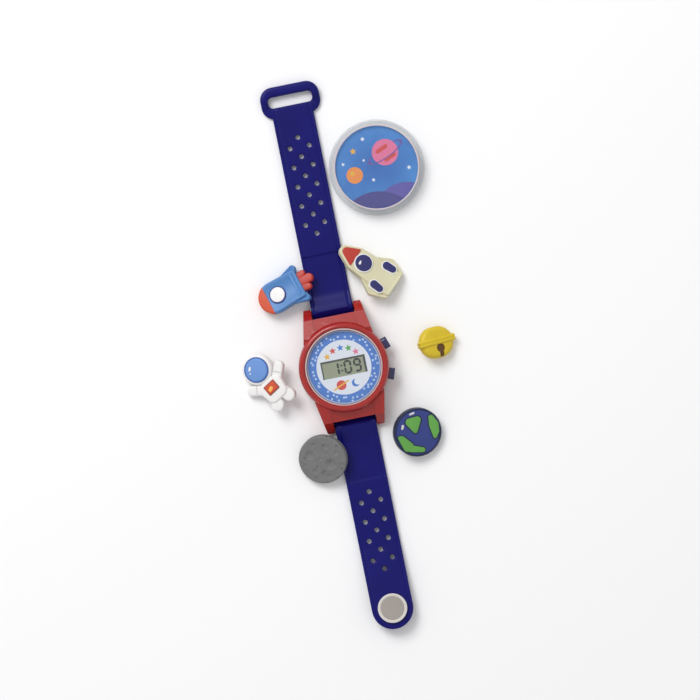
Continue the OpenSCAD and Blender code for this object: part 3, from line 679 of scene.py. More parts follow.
# %% [markdown]
# ## The dial card
# The dial is printed card: a blue ring with pale specks round a white middle. Distance from the axis
# picks ring or middle, and small Voronoi cells make the specks. A painted picture would do the same, but
# the nodes stay sharp at any size.

# %% Dial card
DIAL_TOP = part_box("dial_plate")[1].z / MM
RING_R = 11.2
EDGE_R = 14.5
SPECK_MM = 1.9
SPECK_SHARE = 0.24
SPECK_BAND = 2.5
FIBRE_MM = 0.4


def from_axis(tree, place):
    """How far a place is from the Z axis."""
    flat = add_node(tree, "VectorMath", {0: place, 1: (1, 1, 0)}, operation="MULTIPLY")
    return add_node(tree, "VectorMath", {0: flat.outputs[0]}, operation="LENGTH").outputs["Value"]


dial_card, tree, shader, place = new_material("printed_card")
radius = from_axis(tree, place)
in_ring = calc(tree, "GREATER_THAN", radius, RING_R * MM)
at_edge = calc(tree, "GREATER_THAN", radius, EDGE_R * MM)
cells = add_node(tree, "TexVoronoi", {"Vector": place, "Scale": 1 / (SPECK_MM * MM), "Randomness": 0.85},
                 voronoi_dimensions="2D").outputs
speck = calc(tree, "LESS_THAN", cells["Distance"], SPECK_SHARE)
speck_r = from_axis(tree, cells["Position"])
in_band = calc(tree, "COMPARE", speck_r, (RING_R + EDGE_R) / 2 * MM, SPECK_BAND / 2 * MM)
ring_print = mixed(tree, calc(tree, "MULTIPLY", speck, in_band), "#3f76c8", "#b4cdf0")
with_middle = mixed(tree, in_ring, "#dfe5ef", ring_print)
with_edge = mixed(tree, at_edge, with_middle, "#a9c4ea")
gloss = ranged(tree, noise(tree, place, FIBRE_MM), 0.42, 0.56)
feed(tree, shader, {"Base Color": with_edge, "Roughness": gloss})
soften("dial_plate", dial_card, 0)
print("dial card printed")

# %% [markdown]
# ## Print on the dial
# Stars in an arc, a ringed planet and a crescent are printed on the white. Each is a thin flat mesh as
# thick as a film of ink, so it stays a clean shape from any side. A round or soft shape is a prism: the
# hull of a few discs. The crescent is one disc cut by another with a Boolean.

# %% Inks and stars
INK_T = 0.02
STAR_WAIST = 0.45
INK_CODES = {"red": "#cf3f37", "yellow": "#e6ad33", "blue": "#3a78ca", "green": "#52a152",
             "white": "#eef1f5", "pink": "#e0709a", "purple": "#3f3a86", "violet": "#5a50a4",
             "orange": "#ea8f3c"}
# Printing ink is matt, with a slightly uneven lay-down.
inks = {name: moulded("ink_" + name, code, code, 0.55, 0.3, 0.05, drift_mm=2.0)
        for name, code in INK_CODES.items()}


def flat_star(at, size, low):
    """A star: a circle whose every second corner is drawn in, raised by the thickness of ink."""
    bm = bmesh.new()
    bmesh.ops.create_circle(bm, cap_ends=True, segments=10, radius=size)
    for v in list(bm.verts)[1::2]:
        v.co *= STAR_WAIST
    thicken(bm, INK_T)
    bm.transform(Matrix.Translation((*at, low)))
    return bm


print("ink thickness in mm:", INK_T)

# %% Prisms
DISC_SIDES = 40
BORDER_DEPTH = 0.3


def prism(discs, low, high, rim=0.0, segments=4, border=0.0):
    """The hull of discs (x, y, radius), with its top rim rounded and, with a border, its top set in."""
    bm = bmesh.new()
    for x, y, r in discs:
        bmesh.ops.create_cone(bm, cap_ends=True, segments=DISC_SIDES, radius1=r, radius2=r,
                              depth=high - low, matrix=Matrix.Translation((x, y, (low + high) / 2)))
    hull = bmesh.ops.convex_hull(bm, input=bm.verts)
    spare = set(hull["geom_interior"]) | set(hull["geom_unused"])
    loose = [g for g in spare if isinstance(g, bmesh.types.BMVert)]
    bmesh.ops.delete(bm, geom=loose, context="VERTS")
    bmesh.ops.dissolve_limit(bm, angle_limit=math.radians(1), verts=bm.verts, edges=bm.edges)
    if rim:
        top = [e for e in bm.edges if all(v.co.z > high - 0.01 for v in e.verts)]
        bevel_edges(bm, rim, segments, top)
    if border:
        top = max(bm.faces, key=lambda f: f.calc_center_median().z)
        bmesh.ops.inset_region(bm, faces=[top], thickness=border, use_even_offset=True)
        bmesh.ops.translate(bm, vec=(0, 0, -BORDER_DEPTH), verts=top.verts)
    return bm


def carved(body, cutter, operation):
    """One bmesh cut by another, with a Boolean modifier that is applied at once."""
    holders = []
    for part in (body, cutter):
        mesh = bpy.data.meshes.new("holder")
        part.to_mesh(mesh)
        part.free()
        holders.append(bpy.data.objects.new("holder", mesh))
        scene.collection.objects.link(holders[-1])
    cut = holders[0].modifiers.new("cut", "BOOLEAN")
    cut.operation = operation
    cut.solver = "EXACT"
    cut.object = holders[1]
    whole = bmesh.new()
    whole.from_object(holders[0], bpy.context.evaluated_depsgraph_get())
    for holder in holders:
        bpy.data.meshes.remove(holder.data)
    return whole


print("sides of a disc:", DISC_SIDES)

# %% Dial motifs
ARC_R = 8.0
ARC_STARS = [(138, "yellow"), (114, "red"), (90, "blue"), (66, "green"), (42, "pink")]
DIAL_STAR_R = 1.5
PLANET_AT = (-2.4, -7.0)


def dial_print(bm, name, colour, matrix=None):
    """A printed shape on the dial."""
    make_piece(bm, "dial_" + name, inks[colour], "case", matrix)


for i, (angle, colour) in enumerate(ARC_STARS):
    at = (ARC_R * math.cos(math.radians(angle)), ARC_R * math.sin(math.radians(angle)))
    dial_print(flat_star(at, DIAL_STAR_R, DIAL_TOP), f"star_{i + 1}", colour)
dial_print(prism([(*PLANET_AT, 2.0)], DIAL_TOP, DIAL_TOP + INK_T), "planet", "red")
dial_print(prism([(-3.3, 0, 0.32), (3.3, 0, 0.32)], 0, 2 * INK_T), "planet_belt", "yellow",
           Matrix.Translation((*PLANET_AT, DIAL_TOP)) @ Matrix.Rotation(math.radians(24), 4, "Z"))
crescent = carved(prism([(0, 0, 1.6)], 0, INK_T), prism([(0.8, 0.4, 1.35)], -1, 1), "DIFFERENCE")
dial_print(crescent, "crescent", "blue", Matrix.Translation((3.5, -7.1, DIAL_TOP)))
print("dial motifs printed")

# %% [markdown]
# ## The display
# A reflective liquid crystal panel is grey-green and slightly uneven. Lit segments are thin dark films:
# each is a hexagon stretched into a bar with pointed ends. Along the window's top and sides, thin dark
# films are painted shade for the shadow of the window's depth.

# %% Display digits
LCD_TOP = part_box("lcd_panel")[1].z / MM
DIGIT_W = 2.3
DIGIT_H = 4.7
BAR_W = 0.85
DIGIT_Y = -0.15
SEGMENT_GAP = 0.1
SEGMENTS = {
    "top": (0, 1, 0), "middle": (0, 0, 0), "bottom": (0, -1, 0),
    "upper_left": (-1, 0.5, 1), "upper_right": (1, 0.5, 1),
    "lower_left": (-1, -0.5, 1), "lower_right": (1, -0.5, 1),
}
LIT = {
    "1": ("upper_right", "lower_right"),
    "0": ("top", "bottom", "upper_left", "upper_right", "lower_left", "lower_right"),
    "9": ("top", "middle", "bottom", "upper_left", "upper_right", "lower_right"),
}
DIGITS = [("1", -3.5), ("0", 1.6), ("9", 5.6)]
lcd_grey = moulded("liquid_crystal", "#898f75", "#999f85", 0.3, 0.8, 0.03, drift_mm=9)
soften("lcd_panel", lcd_grey, 0)
lcd_dark = moulded("liquid_crystal_dark", "#191b15", "#22241d", 0.4, 0.5, 0.03)
lcd_painted_shade = moulded("liquid_crystal_painted_shade", "#3b3d35", "#45473e", 0.5, 0.5, 0.03)


def segment(length, upright, at):
    """A lit segment: a hexagon stretched to a pointed bar."""
    bm = bmesh.new()
    bmesh.ops.create_circle(bm, cap_ends=True, segments=6, radius=1)
    for v in bm.verts:
        pointed = abs(v.co.y) > 0.9
        end = length / 2 if pointed else (length - BAR_W) / 2
        v.co = (0 if pointed else math.copysign(BAR_W / 2, v.co.x), math.copysign(end, v.co.y), 0)
    thicken(bm, INK_T)
    turned = Matrix.Rotation((1 - upright) * math.pi / 2, 4, "Z")
    bm.transform(Matrix.Translation((*at, LCD_TOP)) @ turned)
    return bm


print("digits on the display:", len(DIGITS))

# %% Display films


def joined(*parts):
    """One bmesh that holds several."""
    whole = parts[0]
    for part in parts[1:]:
        holder = bpy.data.meshes.new("holder")
        part.to_mesh(holder)
        part.free()
        whole.from_mesh(holder)
        bpy.data.meshes.remove(holder)
    return whole


films = []
for digit, x in DIGITS:
    for name in LIT[digit]:
        column, row, upright = SEGMENTS[name]
        span = DIGIT_H / 2 if upright else DIGIT_W
        at = (x + column * DIGIT_W / 2, DIGIT_Y + row * DIGIT_H / 2)
        films.append(segment(span - SEGMENT_GAP, upright, at))
for y in (1.0, -1.1):
    films.append(prism([(-0.9, DIGIT_Y + y, 0.4)], LCD_TOP, LCD_TOP + INK_T))
make_piece(joined(*films), "display_time", lcd_dark, "case")
# Painted shade: dark films along the window's top and sides.
top_shade = prism([(-8.9, 3.25, 0.45), (8.9, 3.25, 0.45)], LCD_TOP, LCD_TOP + INK_T)
right_shade = prism([(8.75, 3.2, 0.5), (8.75, -3.2, 0.5)], LCD_TOP, LCD_TOP + 2 * INK_T)
left_shade = prism([(-8.95, 3.2, 0.3), (-8.95, -3.2, 0.3)], LCD_TOP, LCD_TOP + 3 * INK_T)
make_piece(joined(top_shade, right_shade, left_shade), "display_painted_shade", lcd_painted_shade, "case")
print("display films:", len(films))

# %% [markdown]
# ## The closing stud
# A pale disc with a shallow dish, whose neck passes through the tail and ends in a bulb that snaps into
# a hole. It is turned on a lathe, like every round piece here, and tilted with the end of the tail.

# %% Stud
PEG_R = 0.9
BULB_R = 1.2
TIP_R = 0.7
PEG_L = 2.8
BULB_L = 0.8
PEG = [(PEG_R, -STRAP_T), (BULB_R, -STRAP_T - 0.3 * BULB_L), (BULB_R, -STRAP_T - 0.6 * BULB_L),
       (TIP_R, -PEG_L), (0, -PEG_L)]
STUD_R = 6.0
STUD_TOP = STRAP_T + 1.3
STUD_RIM = 0.9
STUD_DISH = 0.3
COLLAR_R = 2.4
COLLAR_T = 0.7
NECK_R = 1.5
STUD_GAP = 0.02

dish_r = STUD_R - STUD_RIM
dish_z = STUD_TOP - STUD_DISH
under_z = STRAP_T + STUD_GAP
stud = lathe([(0, dish_z), (dish_r - 0.3, dish_z), (dish_r, STUD_TOP), (STUD_R, STUD_TOP),
              (STUD_R, under_z), (NECK_R, under_z), (NECK_R, COLLAR_T), (COLLAR_R, COLLAR_T),
              (COLLAR_R, 0), (PEG_R, 0), *PEG], offset=0.22)
on_tail = (Matrix.Translation((0, -LIFT_Y, STRAP_T)) @ Matrix.Rotation(-TAIL_LIFT, 4, "X")
           @ Matrix.Translation((0, LIFT_Y - STUD_Y, -STRAP_T)))
stud_disc = make_piece(stud, "closing_stud_disc", stud_pp, "tail_end", on_tail)
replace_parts(stud_disc, "closing_stud")
# Painted shade: a darker disc lies in the stud's dish.
dish_shade = lathe([(0, dish_z + 0.12), (dish_r - 0.35, dish_z + 0.1), (dish_r - 0.15, dish_z - 0.05),
             (0, dish_z - 0.05)])
make_piece(dish_shade, "closing_stud_dish_shade", stud_dish_shade_pp, "tail_end", on_tail)
print("stud made")

# %% [markdown]
# ## The cover
# The cover is a clear cap that presses over the case. Its printed disc turns under a low dome. The cap
# and the dome are lathe shapes, with the cap's rims rounded so that they catch the light. A pale ring on
# the cap's lip is a painted highlight round the print.

# %% Cover cap and dome
COVER_AT = ((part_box("cover_cap")[0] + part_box("cover_cap")[1]) / 2 / MM).to_2d()
COVER_R = 19.6
SKIRT_R = 18.9
SKIRT_H = 2.4
WELL_R = 17.4
LIP_R = 16.9
PICTURE_Z = 3.4
FACE_Z = 3.8
LIP_Z = 4.6
COVER_TOP = 5.2
DOME_R = 16.75
DOME_BASE = 5.0
DOME_H = 0.9
DOME_STEPS = 10
FACE_GAP = 0.1

to_cover = Matrix.Translation((*COVER_AT, 0))
cap = lathe([(0, PICTURE_Z), (WELL_R, PICTURE_Z), (WELL_R, LIP_Z), (LIP_R, LIP_Z), (LIP_R, COVER_TOP),
             (COVER_R - 0.5, COVER_TOP), (COVER_R, COVER_TOP - 0.7), (COVER_R, 0), (SKIRT_R, 0),
             (SKIRT_R, SKIRT_H), (0, SKIRT_H)], offset=0.18)
cap_rim = make_piece(cap, "cover_cap_rim", cover_styrene, "cover", to_cover)
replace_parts(cap_rim, "cover_cap")
# Painted highlight: a pale ring along the cap's lip.
lip = lathe([(LIP_R + 0.05, COVER_TOP - 0.1), (LIP_R + 0.15, COVER_TOP + 0.03),
             (LIP_R + 0.5, COVER_TOP + 0.03), (LIP_R + 0.6, COVER_TOP - 0.1),
             (LIP_R + 0.05, COVER_TOP - 0.1)])
make_piece(lip, "cover_lip_highlight", edge_highlight_acrylic, "cover", to_cover)
dome = [(DOME_R * i / DOME_STEPS, DOME_BASE + DOME_H * (1 - (i / DOME_STEPS) ** 2))
        for i in range(DOME_STEPS + 1)]
face = lathe([*dome, (DOME_R, LIP_Z - FACE_GAP), (WELL_R - FACE_GAP, LIP_Z - FACE_GAP),
              (WELL_R - FACE_GAP, FACE_Z + FACE_GAP), (0, FACE_Z + FACE_GAP)])
cover_dome = make_piece(face, "cover_dome", dome_acrylic, "cover_turner", to_cover)
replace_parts(cover_dome, "cover_face")
print("cover at", [round(v, 1) for v in COVER_AT])

# %% [markdown]
# ## Print on the cover
# The print is a plain space scene of this lesson's own: a pink planet with a ring, two hills, an orange
# moon and a few stars, on a sky that pales towards the edge. The sky is a material, and the rest are
# films of ink.

# %% Printed sky
CLOUD_MM = 9.0

sky_print, tree, shader, place = new_material("printed_sky")
from_middle = add_node(tree, "Mapping", {"Vector": place, "Location": (*(-COVER_AT * MM), 0)})
radius = from_axis(tree, from_middle.outputs[0])
pale = add_node(tree, "MapRange", {"Value": radius, "From Max": WELL_R * MM})
mist = calc(tree, "MULTIPLY", pale.outputs[0], noise(tree, place, CLOUD_MM))
feed(tree, shader, {"Base Color": mixed(tree, mist, "#115fb0", "#479ae2"), "Roughness": 0.45})
soften("cover_picture", sky_print, 0)
print("sky printed")

# %% Print helpers
PRINT_R = LIP_R - 0.1
RING_INNER = 7.2
RING_OUTER = 8.6
RING_SLANT = 0.28


def film(discs, layer):
    """A printed shape on one layer of ink."""
    return prism(discs, FACE_Z, FACE_Z + layer * INK_T)


def in_disc(bm):
    """The part of a printed shape that lies on the disc."""
    return carved(bm, prism([(0, 0, PRINT_R)], FACE_Z - 1, FACE_Z + 1), "INTERSECT")


def cover_print(bm, name, colour, matrix=Matrix.Identity(4)):
    """A printed shape that turns with the disc."""
    make_piece(bm, "print_" + name, inks[colour], "cover_turner", to_cover @ matrix)


def cut_off(bm, at, away):
    """Takes off what lies beyond a plane, and closes the cut."""
    bmesh.ops.bisect_plane(bm, geom=bm.verts[:] + bm.edges[:] + bm.faces[:], dist=NEAR, plane_co=at,
                           plane_no=away, clear_outer=True)
    bmesh.ops.holes_fill(bm, edges=[e for e in bm.edges if e.is_boundary])


def ring_film(layer, front):
    """A flat ring seen at a slant: all of it, or only its front half."""
    top = FACE_Z + layer * INK_T
    bm = lathe([(RING_INNER, FACE_Z), (RING_OUTER, FACE_Z), (RING_OUTER, top), (RING_INNER, top),
                (RING_INNER, FACE_Z)])
    bmesh.ops.scale(bm, vec=(1, RING_SLANT, 1), verts=bm.verts)
    if front:
        cut_off(bm, (0, 0, 0), (0, 1, 0))
    return bm


print("print radius in mm:", round(PRINT_R, 2))

# %% Cover motifs
tilted = Matrix.Translation((4.6, 5.4, 0)) @ Matrix.Rotation(math.radians(24), 4, "Z")
cover_print(ring_film(1, False), "ring_back", "violet", tilted)
cover_print(film([(0, 0, 5.4)], 2), "planet", "pink", tilted)
cover_print(film([(-2.4, 1.9, 0.8), (1.6, 1.9, 0.8)], 3), "planet_upper_band", "red", tilted)
cover_print(film([(-1.5, -2.9, 0.7), (2.6, -2.9, 0.7)], 3), "planet_lower_band", "red", tilted)
cover_print(ring_film(4, True), "ring_front", "violet", tilted)
cover_print(in_disc(film([(8.5, -21.5, 13.5)], 1)), "far_hill", "violet")
cover_print(in_disc(film([(-4.0, -27.0, 17.5)], 2)), "near_hill", "purple")
cover_print(film([(-9.4, -1.5, 3.4)], 1), "moon", "orange")
cover_print(film([(-10.2, -0.6, 1.0)], 2), "moon_mark", "yellow")
PRINT_STARS = [(-8.2, 8.2, 1.5, "yellow"), (-3.4, 12.4, 1.0, "white"), (-13.2, 3.8, 0.8, "white"),
               (-2.2, -4.8, 0.9, "white"), (13.0, -2.6, 1.0, "white"), (-4.6, 3.8, 0.7, "white")]
for i, (x, y, size, colour) in enumerate(PRINT_STARS):
    cover_print(flat_star((x, y), size, FACE_Z), f"star_{i + 1}", colour)
print("cover printed")

# %% [markdown]
# ## How a charm lies
# Each charm is a thick soft moulding with a peg on its back, so on a table it leans on its rim and on
# the peg's tip. Its colours are filled into the mould one after another, which leaves raised fields with
# rounded rims. Most bodies and fields are prisms of a few discs, and a body has its solid's outline. One
# matrix lays a charm down the way its solid lies.

# %% Charm helpers
CHARM_T = 3.2
RELIEF = 0.5
FLOOR_GAP = 0.05
FIN_T = 0.75 * CHARM_T
LIMB_T = 0.8 * CHARM_T
FIN_ROUND = 0.5
FIELD_FOOT = CHARM_T - 0.6
HAIR = 0.02
PEG_ROOT = 0.2


def reach(discs, angle):
    """How far an outline of discs reaches in one direction."""
    return max(x * math.cos(angle) + y * math.sin(angle) + r for x, y, r in discs)


def lie(at, turn, lean, discs):
    """The place of a charm that leans on one side of its rim and on its peg."""
    turn, lean = math.radians(turn), math.radians(lean)
    r = reach(discs, lean - turn)
    slope = math.atan2(PEG_L, r - TIP_R)
    on_floor = Matrix.Translation((*at, FLOOR_GAP)) @ Matrix.Rotation(lean, 4, "Z")
    to_rim = Matrix.Translation((r, 0, 0))
    tipped = to_rim @ Matrix.Rotation(slope, 4, "Y") @ to_rim.inverted()
    return on_floor @ tipped @ Matrix.Rotation(turn - lean, 4, "Z")


def flipped(discs, x=1, y=1):
    """The same discs on the other side of an axis."""
    return [(x * at_x, y * at_y, r) for at_x, at_y, r in discs]


def grown(discs, by):
    """The same discs with larger radii."""
    return [(x, y, r + by) for x, y, r in discs]


def peg():
    """The peg on a charm's back."""
    return lathe([(0, PEG_ROOT), (PEG_R, PEG_ROOT), *PEG], steps=32)


def winged(hull, fin, rim, hull_border, fin_border):
    """The body of a rocket: its hull, a fin on either side, and a peg."""
    fins = [prism(side, HAIR, FIN_T, FIN_ROUND, border=fin_border) for side in (fin, flipped(fin, y=-1))]
    return joined(prism(hull, 0, CHARM_T, rim, border=hull_border), *fins, peg())


def charm(name, place):
    """A function that adds one coloured field to a charm, from a bmesh or from a prism's discs."""
    def field(part, material, shape, low=0.0, high=0.0, rim=0.3):
        bm = shape if isinstance(shape, bmesh.types.BMesh) else prism(shape, low, high, rim)
        return make_piece(bm, f"{name}_{part}", material, f"{name}_charm", place)
    return field


print("peg length in mm:", PEG_L)

# %% [markdown]
# ## The rocket
# A blunt rocket with two side fins, an orange-red nose, a white window and a three-tongued flame. A
# groove inside its rim leaves a raised outline, as the mould does, and a ridge crosses its tail. The
# nose is the same hull cut off by a plane and swollen by a hair, so its colour covers the blue without a
# seam.

# %% Rocket
ROCKET_L = 25.0
NOSE_R = 6.6
NOSE_CUT = 8.4
NOSE_SWELL = 1.015
HULL_ROUND = 0.8
FLAME_T = 0.7 * CHARM_T
ROCKET_PORT = ROCKET_L / 2 - 8.6
rocket_hull = [(ROCKET_L / 2 - NOSE_R, 0, NOSE_R), (-5.7, 5.2, 1), (-5.7, -5.2, 1)]
rocket_fin = [(-6.2, 6.9, 1.3), (0.5, 5.2, 1), (-5.5, 4, 1)]
rocket_flame = [(1.9 - ROCKET_L / 2, 0, 1.9), (-8, 2.7, 1.6), (-8, -2.7, 1.6)]
rocket_outline = rocket_hull + rocket_fin + flipped(rocket_fin, y=-1) + rocket_flame
rocket = charm("rocket", lie((-16, 34.8), 198, 145, rocket_outline))
body = winged(rocket_hull, rocket_fin, HULL_ROUND, 0.7, 0.5)
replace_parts(rocket("body", rocket_pvc, body), "rocket_charm")
nose = prism(rocket_hull, HAIR, CHARM_T, HULL_ROUND)
cut_off(nose, (NOSE_CUT, 0, 0), (-1, 0, 0))
to_nose = Matrix.Translation((NOSE_CUT, 0, CHARM_T / 2))
nose.transform(to_nose @ Matrix.Scale(NOSE_SWELL, 4) @ to_nose.inverted())
rocket("nose", orange_red_pvc, nose)
side_tongue = [(-6.8, 2.6, 1.5), (-8.8, 3.0, 1.4)]
tongues = [[(-6.8, 0, 1.9), (-10.5, 0, 1.9)], side_tongue, flipped(side_tongue, y=-1)]
for i, tongue in enumerate(tongues):
    rocket(f"flame_{i + 1}", red_pvc, tongue, HAIR * (i + 1), FLAME_T - 0.1 * i, 0.6)
ridge = [(-4.4, 4.5, 0.55), (-4.4, -4.5, 0.55)]
rocket("tail_ridge", rocket_pvc, ridge, FIELD_FOOT, CHARM_T + 0.15, 0.25)
rocket("window_ring", sea_pvc, [(ROCKET_PORT, 0, 3.55)], FIELD_FOOT, CHARM_T + 0.25)
rocket("window", white_pvc, [(ROCKET_PORT, 0, 3.1)], FIELD_FOOT, CHARM_T + RELIEF)
print("rocket made")

# %% [markdown]
# ## The shuttle
# A longer cream rocket with broad tail fins. Its red nose is a field inside the raised outline, the
# round window is navy with a pale ring, and each fin has a navy oval in a pale border.

# %% Shuttle
SHUTTLE_L = 27.4
SHUTTLE_PORT = 2.4
PORT_FOOT = 1.2
nose_tip = SHUTTLE_L / 2
shuttle_hull = [(nose_tip - 2.6, 0, 2.6), (5, 0, 5.2), (-4.2, 0, 5.7), (1.3 - nose_tip, 4.3, 1.3),
                (1.3 - nose_tip, -4.3, 1.3)]
shuttle_fin = [(1.7 - nose_tip, 5.4, 1.6), (-6.8, 7.5, 1.6), (0, 4.2, 1)]
shuttle_outline = shuttle_hull + shuttle_fin + flipped(shuttle_fin, y=-1)
shuttle = charm("shuttle", lie((16.8, 37.5), 134, 35, shuttle_outline))
body = winged(shuttle_hull, shuttle_fin, 0.7, 0.6, 0.45)
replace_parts(shuttle("body", cream_pvc, body), "shuttle_charm")
nose = [(10.6, 0, 1.9), (6.7, 3.6, 0.5), (6.7, -3.6, 0.5)]
shuttle("nose", red_pvc, nose, FIELD_FOOT, CHARM_T + 0.1, 0.25)
shuttle("window_ring", white_pvc, [(SHUTTLE_PORT, 0, 4.0)], FIELD_FOOT, CHARM_T + 0.2)
shuttle("window", navy_pvc, [(SHUTTLE_PORT, 0, 3.5)], FIELD_FOOT, CHARM_T + RELIEF)
shuttle("glint", white_pvc, [(3.6, 1.2, 0.5), (3.8, 0.2, 0.3)], CHARM_T + 0.3, CHARM_T + 0.56, 0.1)
for i, y in enumerate((5.0, -5.0)):
    oval = [(-8.8, y, 1.5), (-6.0, y * 0.96, 1.7)]
    shuttle(f"port_ring_{i + 1}", white_pvc, grown(oval, 0.45), PORT_FOOT, CHARM_T)
    shuttle(f"port_{i + 1}", navy_pvc, oval, PORT_FOOT, CHARM_T + 0.25, 0.25)
print("shuttle made")

# %% [markdown]
# ## The bell
# A round bell with two ridges across its middle and a keyhole slot below them. The slot is a real
# recess: a keyhole cutter is taken away from the body, and a brown floor is what the cutter shares with
# a slightly smaller body.

# %% Bell
BELL_ROUND = 1.9
SLOT_SINK = 0.45
SLOT_X = 0.6
CUT_TOP = 5.0
bell_band = [(6.6, 0.4, 1.4), (-6.6, 0.4, 1.4)]
bell_body = [(0.9, 0, 6.5), (-0.9, 0, 6.5)]
bell = charm("bell", lie((38, 2.4), 4, 5, bell_band + bell_body))


def keyhole(low):
    """The slot's cutter: a hole with a narrow slit that runs down to the rim."""
    slit = prism([(SLOT_X, -3.4, 1.0), (SLOT_X, -7.0, 1.0)], low, CUT_TOP + 0.1)
    return carved(prism([(SLOT_X, -2.6, 1.8)], low, CUT_TOP), slit, "UNION")


body = carved(prism(bell_body, 0, CHARM_T, BELL_ROUND, 6), keyhole(1.0), "DIFFERENCE")
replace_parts(bell("body", yellow_pvc, joined(body, peg())), "bell_charm")
core = prism(grown(bell_body, -SLOT_SINK), 0.3, CHARM_T - SLOT_SINK, BELL_ROUND, 6)
bell("slot", brown_pvc, carved(core, keyhole(0.5), "INTERSECT"))
for i, y in enumerate((1.0, -0.2)):
    bell(f"ridge_{i + 1}", yellow_pvc, [(7.2, y, 0.8), (-7.2, y, 0.8)], 0.2, CHARM_T + RELIEF, 0.6)
print("bell made")

# %% [markdown]
# ## The globe
# A navy disc in a dark raised rim, with green lands that each have a dark shore, and two pale raised
# marks that are painted glints. A shore is the land's own outline, grown a little and set lower. A land
# that bends is two overlapping lobes.

# %% Globe
DISC_R = 10.0
RIM_W = 0.6
SHORE_W = 0.5
LAND_FOOT = CHARM_T - 0.4
SHORE_TOP = CHARM_T - 0.1
LAND_TOP = CHARM_T + 0.05
disc = [(0, 0, DISC_R)]
globe = charm("globe", lie((23.4, -31.3), 11, -40, disc))
rim = lathe([(0, 0), (DISC_R, 0), (DISC_R, CHARM_T), (DISC_R - RIM_W, CHARM_T),
             (DISC_R - RIM_W, CHARM_T - RELIEF), (0, CHARM_T - RELIEF)], offset=0.25)
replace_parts(globe("rim", outline_pvc, joined(rim, peg())), "globe_charm")
globe("sea", sea_pvc, [(0, 0, DISC_R - 0.7)], CHARM_T - RELIEF - 0.1, CHARM_T - 0.2, 0.15)
globe_lands = [[[(-1.9, 5.4, 1.6), (1.5, 5.0, 1.5), (-0.8, 1.2, 1.0)]],
               [[(7.2, 3.6, 1.1), (7.3, 0.4, 2.0), (7.3, -2.6, 1.2), (6.1, -4.3, 0.8)]],
               [[(-7.8, 0.8, 0.9), (-6.9, 0.3, 0.9), (-6.5, -4.2, 1.5), (-5.0, -3.9, 1.3)],
                [(-6.5, -4.2, 1.4), (-4.6, -5.4, 1.4), (-0.7, -7.5, 1.0)]]]
globe_painted_glints = [[(-5.6, 4.1, 0.45), (-5.0, 5.0, 0.55)], [(-0.5, 8.3, 0.4), (1.1, 8.3, 0.45)]]
for i, lobes in enumerate(globe_lands):
    steps = [(lobe, HAIR * j) for j, lobe in enumerate(lobes)]
    shore = [prism(grown(lobe, SHORE_W), LAND_FOOT, SHORE_TOP - step, 0.1) for lobe, step in steps]
    land = [prism(lobe, LAND_FOOT, LAND_TOP - step, 0.2) for lobe, step in steps]
    globe(f"shore_{i + 1}", outline_pvc, joined(*shore))
    globe(f"land_{i + 1}", green_pvc, joined(*land))
# Painted glints: two pale raised marks on the sea are painted highlights.
for i, painted_glint in enumerate(globe_painted_glints):
    globe(f"cloud_{i + 1}", pale_grey_pvc, painted_glint, LAND_FOOT, CHARM_T - 0.05, 0.1)
print("globe made")

# %% [markdown]
# ## The moon
# A grey disc with shallow craters. The top is spun from many close rings, and each vertex is then
# pressed down inside a crater and lifted a little at its rim, as a thumb would do in clay. Craters too
# fine to model are small dents in the material that are also darkened, which is painted shade.

# %% Moon material
DUST_MM = 2.5
PIT_MM = 2.6

moon_pvc, tree, shader, place = new_material("moon_grey_pvc")
dust = mixed(tree, noise(tree, place, DUST_MM, 4.0), "#626262", "#787878")
pits = add_node(tree, "TexVoronoi", {"Vector": place, "Scale": 1 / (PIT_MM * MM)}).outputs["Distance"]
# Partly painted shade: this mask dents the small craters and also darkens them.
pit_dent_and_shade = add_node(tree, "MapRange", {"Value": pits, "From Min": 0.14, "From Max": 0.24}).outputs[0]
tint = mixed(tree, pit_dent_and_shade, "#565656", dust)
feed(tree, shader, {"Base Color": tint, "Normal": bumped(tree, pit_dent_and_shade, 0.5, 0.2), "Roughness": 0.62})
print("moon specks about mm apart:", PIT_MM)

# %% Moon
MOON_STEP = 0.25
CRATERS = [(-4.2, 3.6, 2), (3.4, 4.6, 1.4), (2.6, -2.8, 2.4), (-4.6, -3.4, 1.3), (6.4, 0.6, 1.1),
           (-0.6, 0.8, 0.9), (-7.4, 0.4, 0.9), (0.2, -7.2, 1.1), (-0.8, 7.0, 1.0), (6.6, -4.6, 0.8),
           (-2.2, -6.0, 0.7), (2.4, 1.6, 0.7)]
CRATER_SHARE = 0.22
RIM_LIFT = 0.07
RIM_AT = 1.1
RIM_SPREAD = 0.2
MOON_ROUND = 0.15


def crater_depth(v):
    """How far the craters press one point of the moon down."""
    depth = 0.0
    for x, y, r in CRATERS:
        d = math.hypot(v.co.x - x, v.co.y - y) / r
        if d < 1:
            depth += CRATER_SHARE * r * (1 - d * d)
        depth -= RIM_LIFT * math.exp(-((d - RIM_AT) / RIM_SPREAD) ** 2)
    return depth


rings = int((DISC_R - RELIEF) / MOON_STEP)
surface = [(i * MOON_STEP, CHARM_T) for i in range(rings + 1)]
moon = lathe([*surface, (DISC_R - MOON_ROUND, CHARM_T - 0.2), (DISC_R, CHARM_T - RELIEF),
              (DISC_R, MOON_ROUND), (DISC_R - MOON_ROUND, 0), (0, 0)], steps=144)
for v in moon.verts:
    if v.co.z > CHARM_T - 0.01:
        v.co.z -= crater_depth(v)
moon_field = charm("moon", lie((-15, -34.6), 11, 215, disc))
moon_disc = moon_field("disc", moon_pvc, joined(moon, peg()))
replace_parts(moon_disc, "moon_charm")
print("moon made")

# %% [markdown]
# ## The astronaut
# A plump white space suit with raised arms, a round blue visor, an orange-red badge and pale cuffs.
# Head, body and limbs are separate prisms with soft rims, which meet in creases as the moulded ones do.

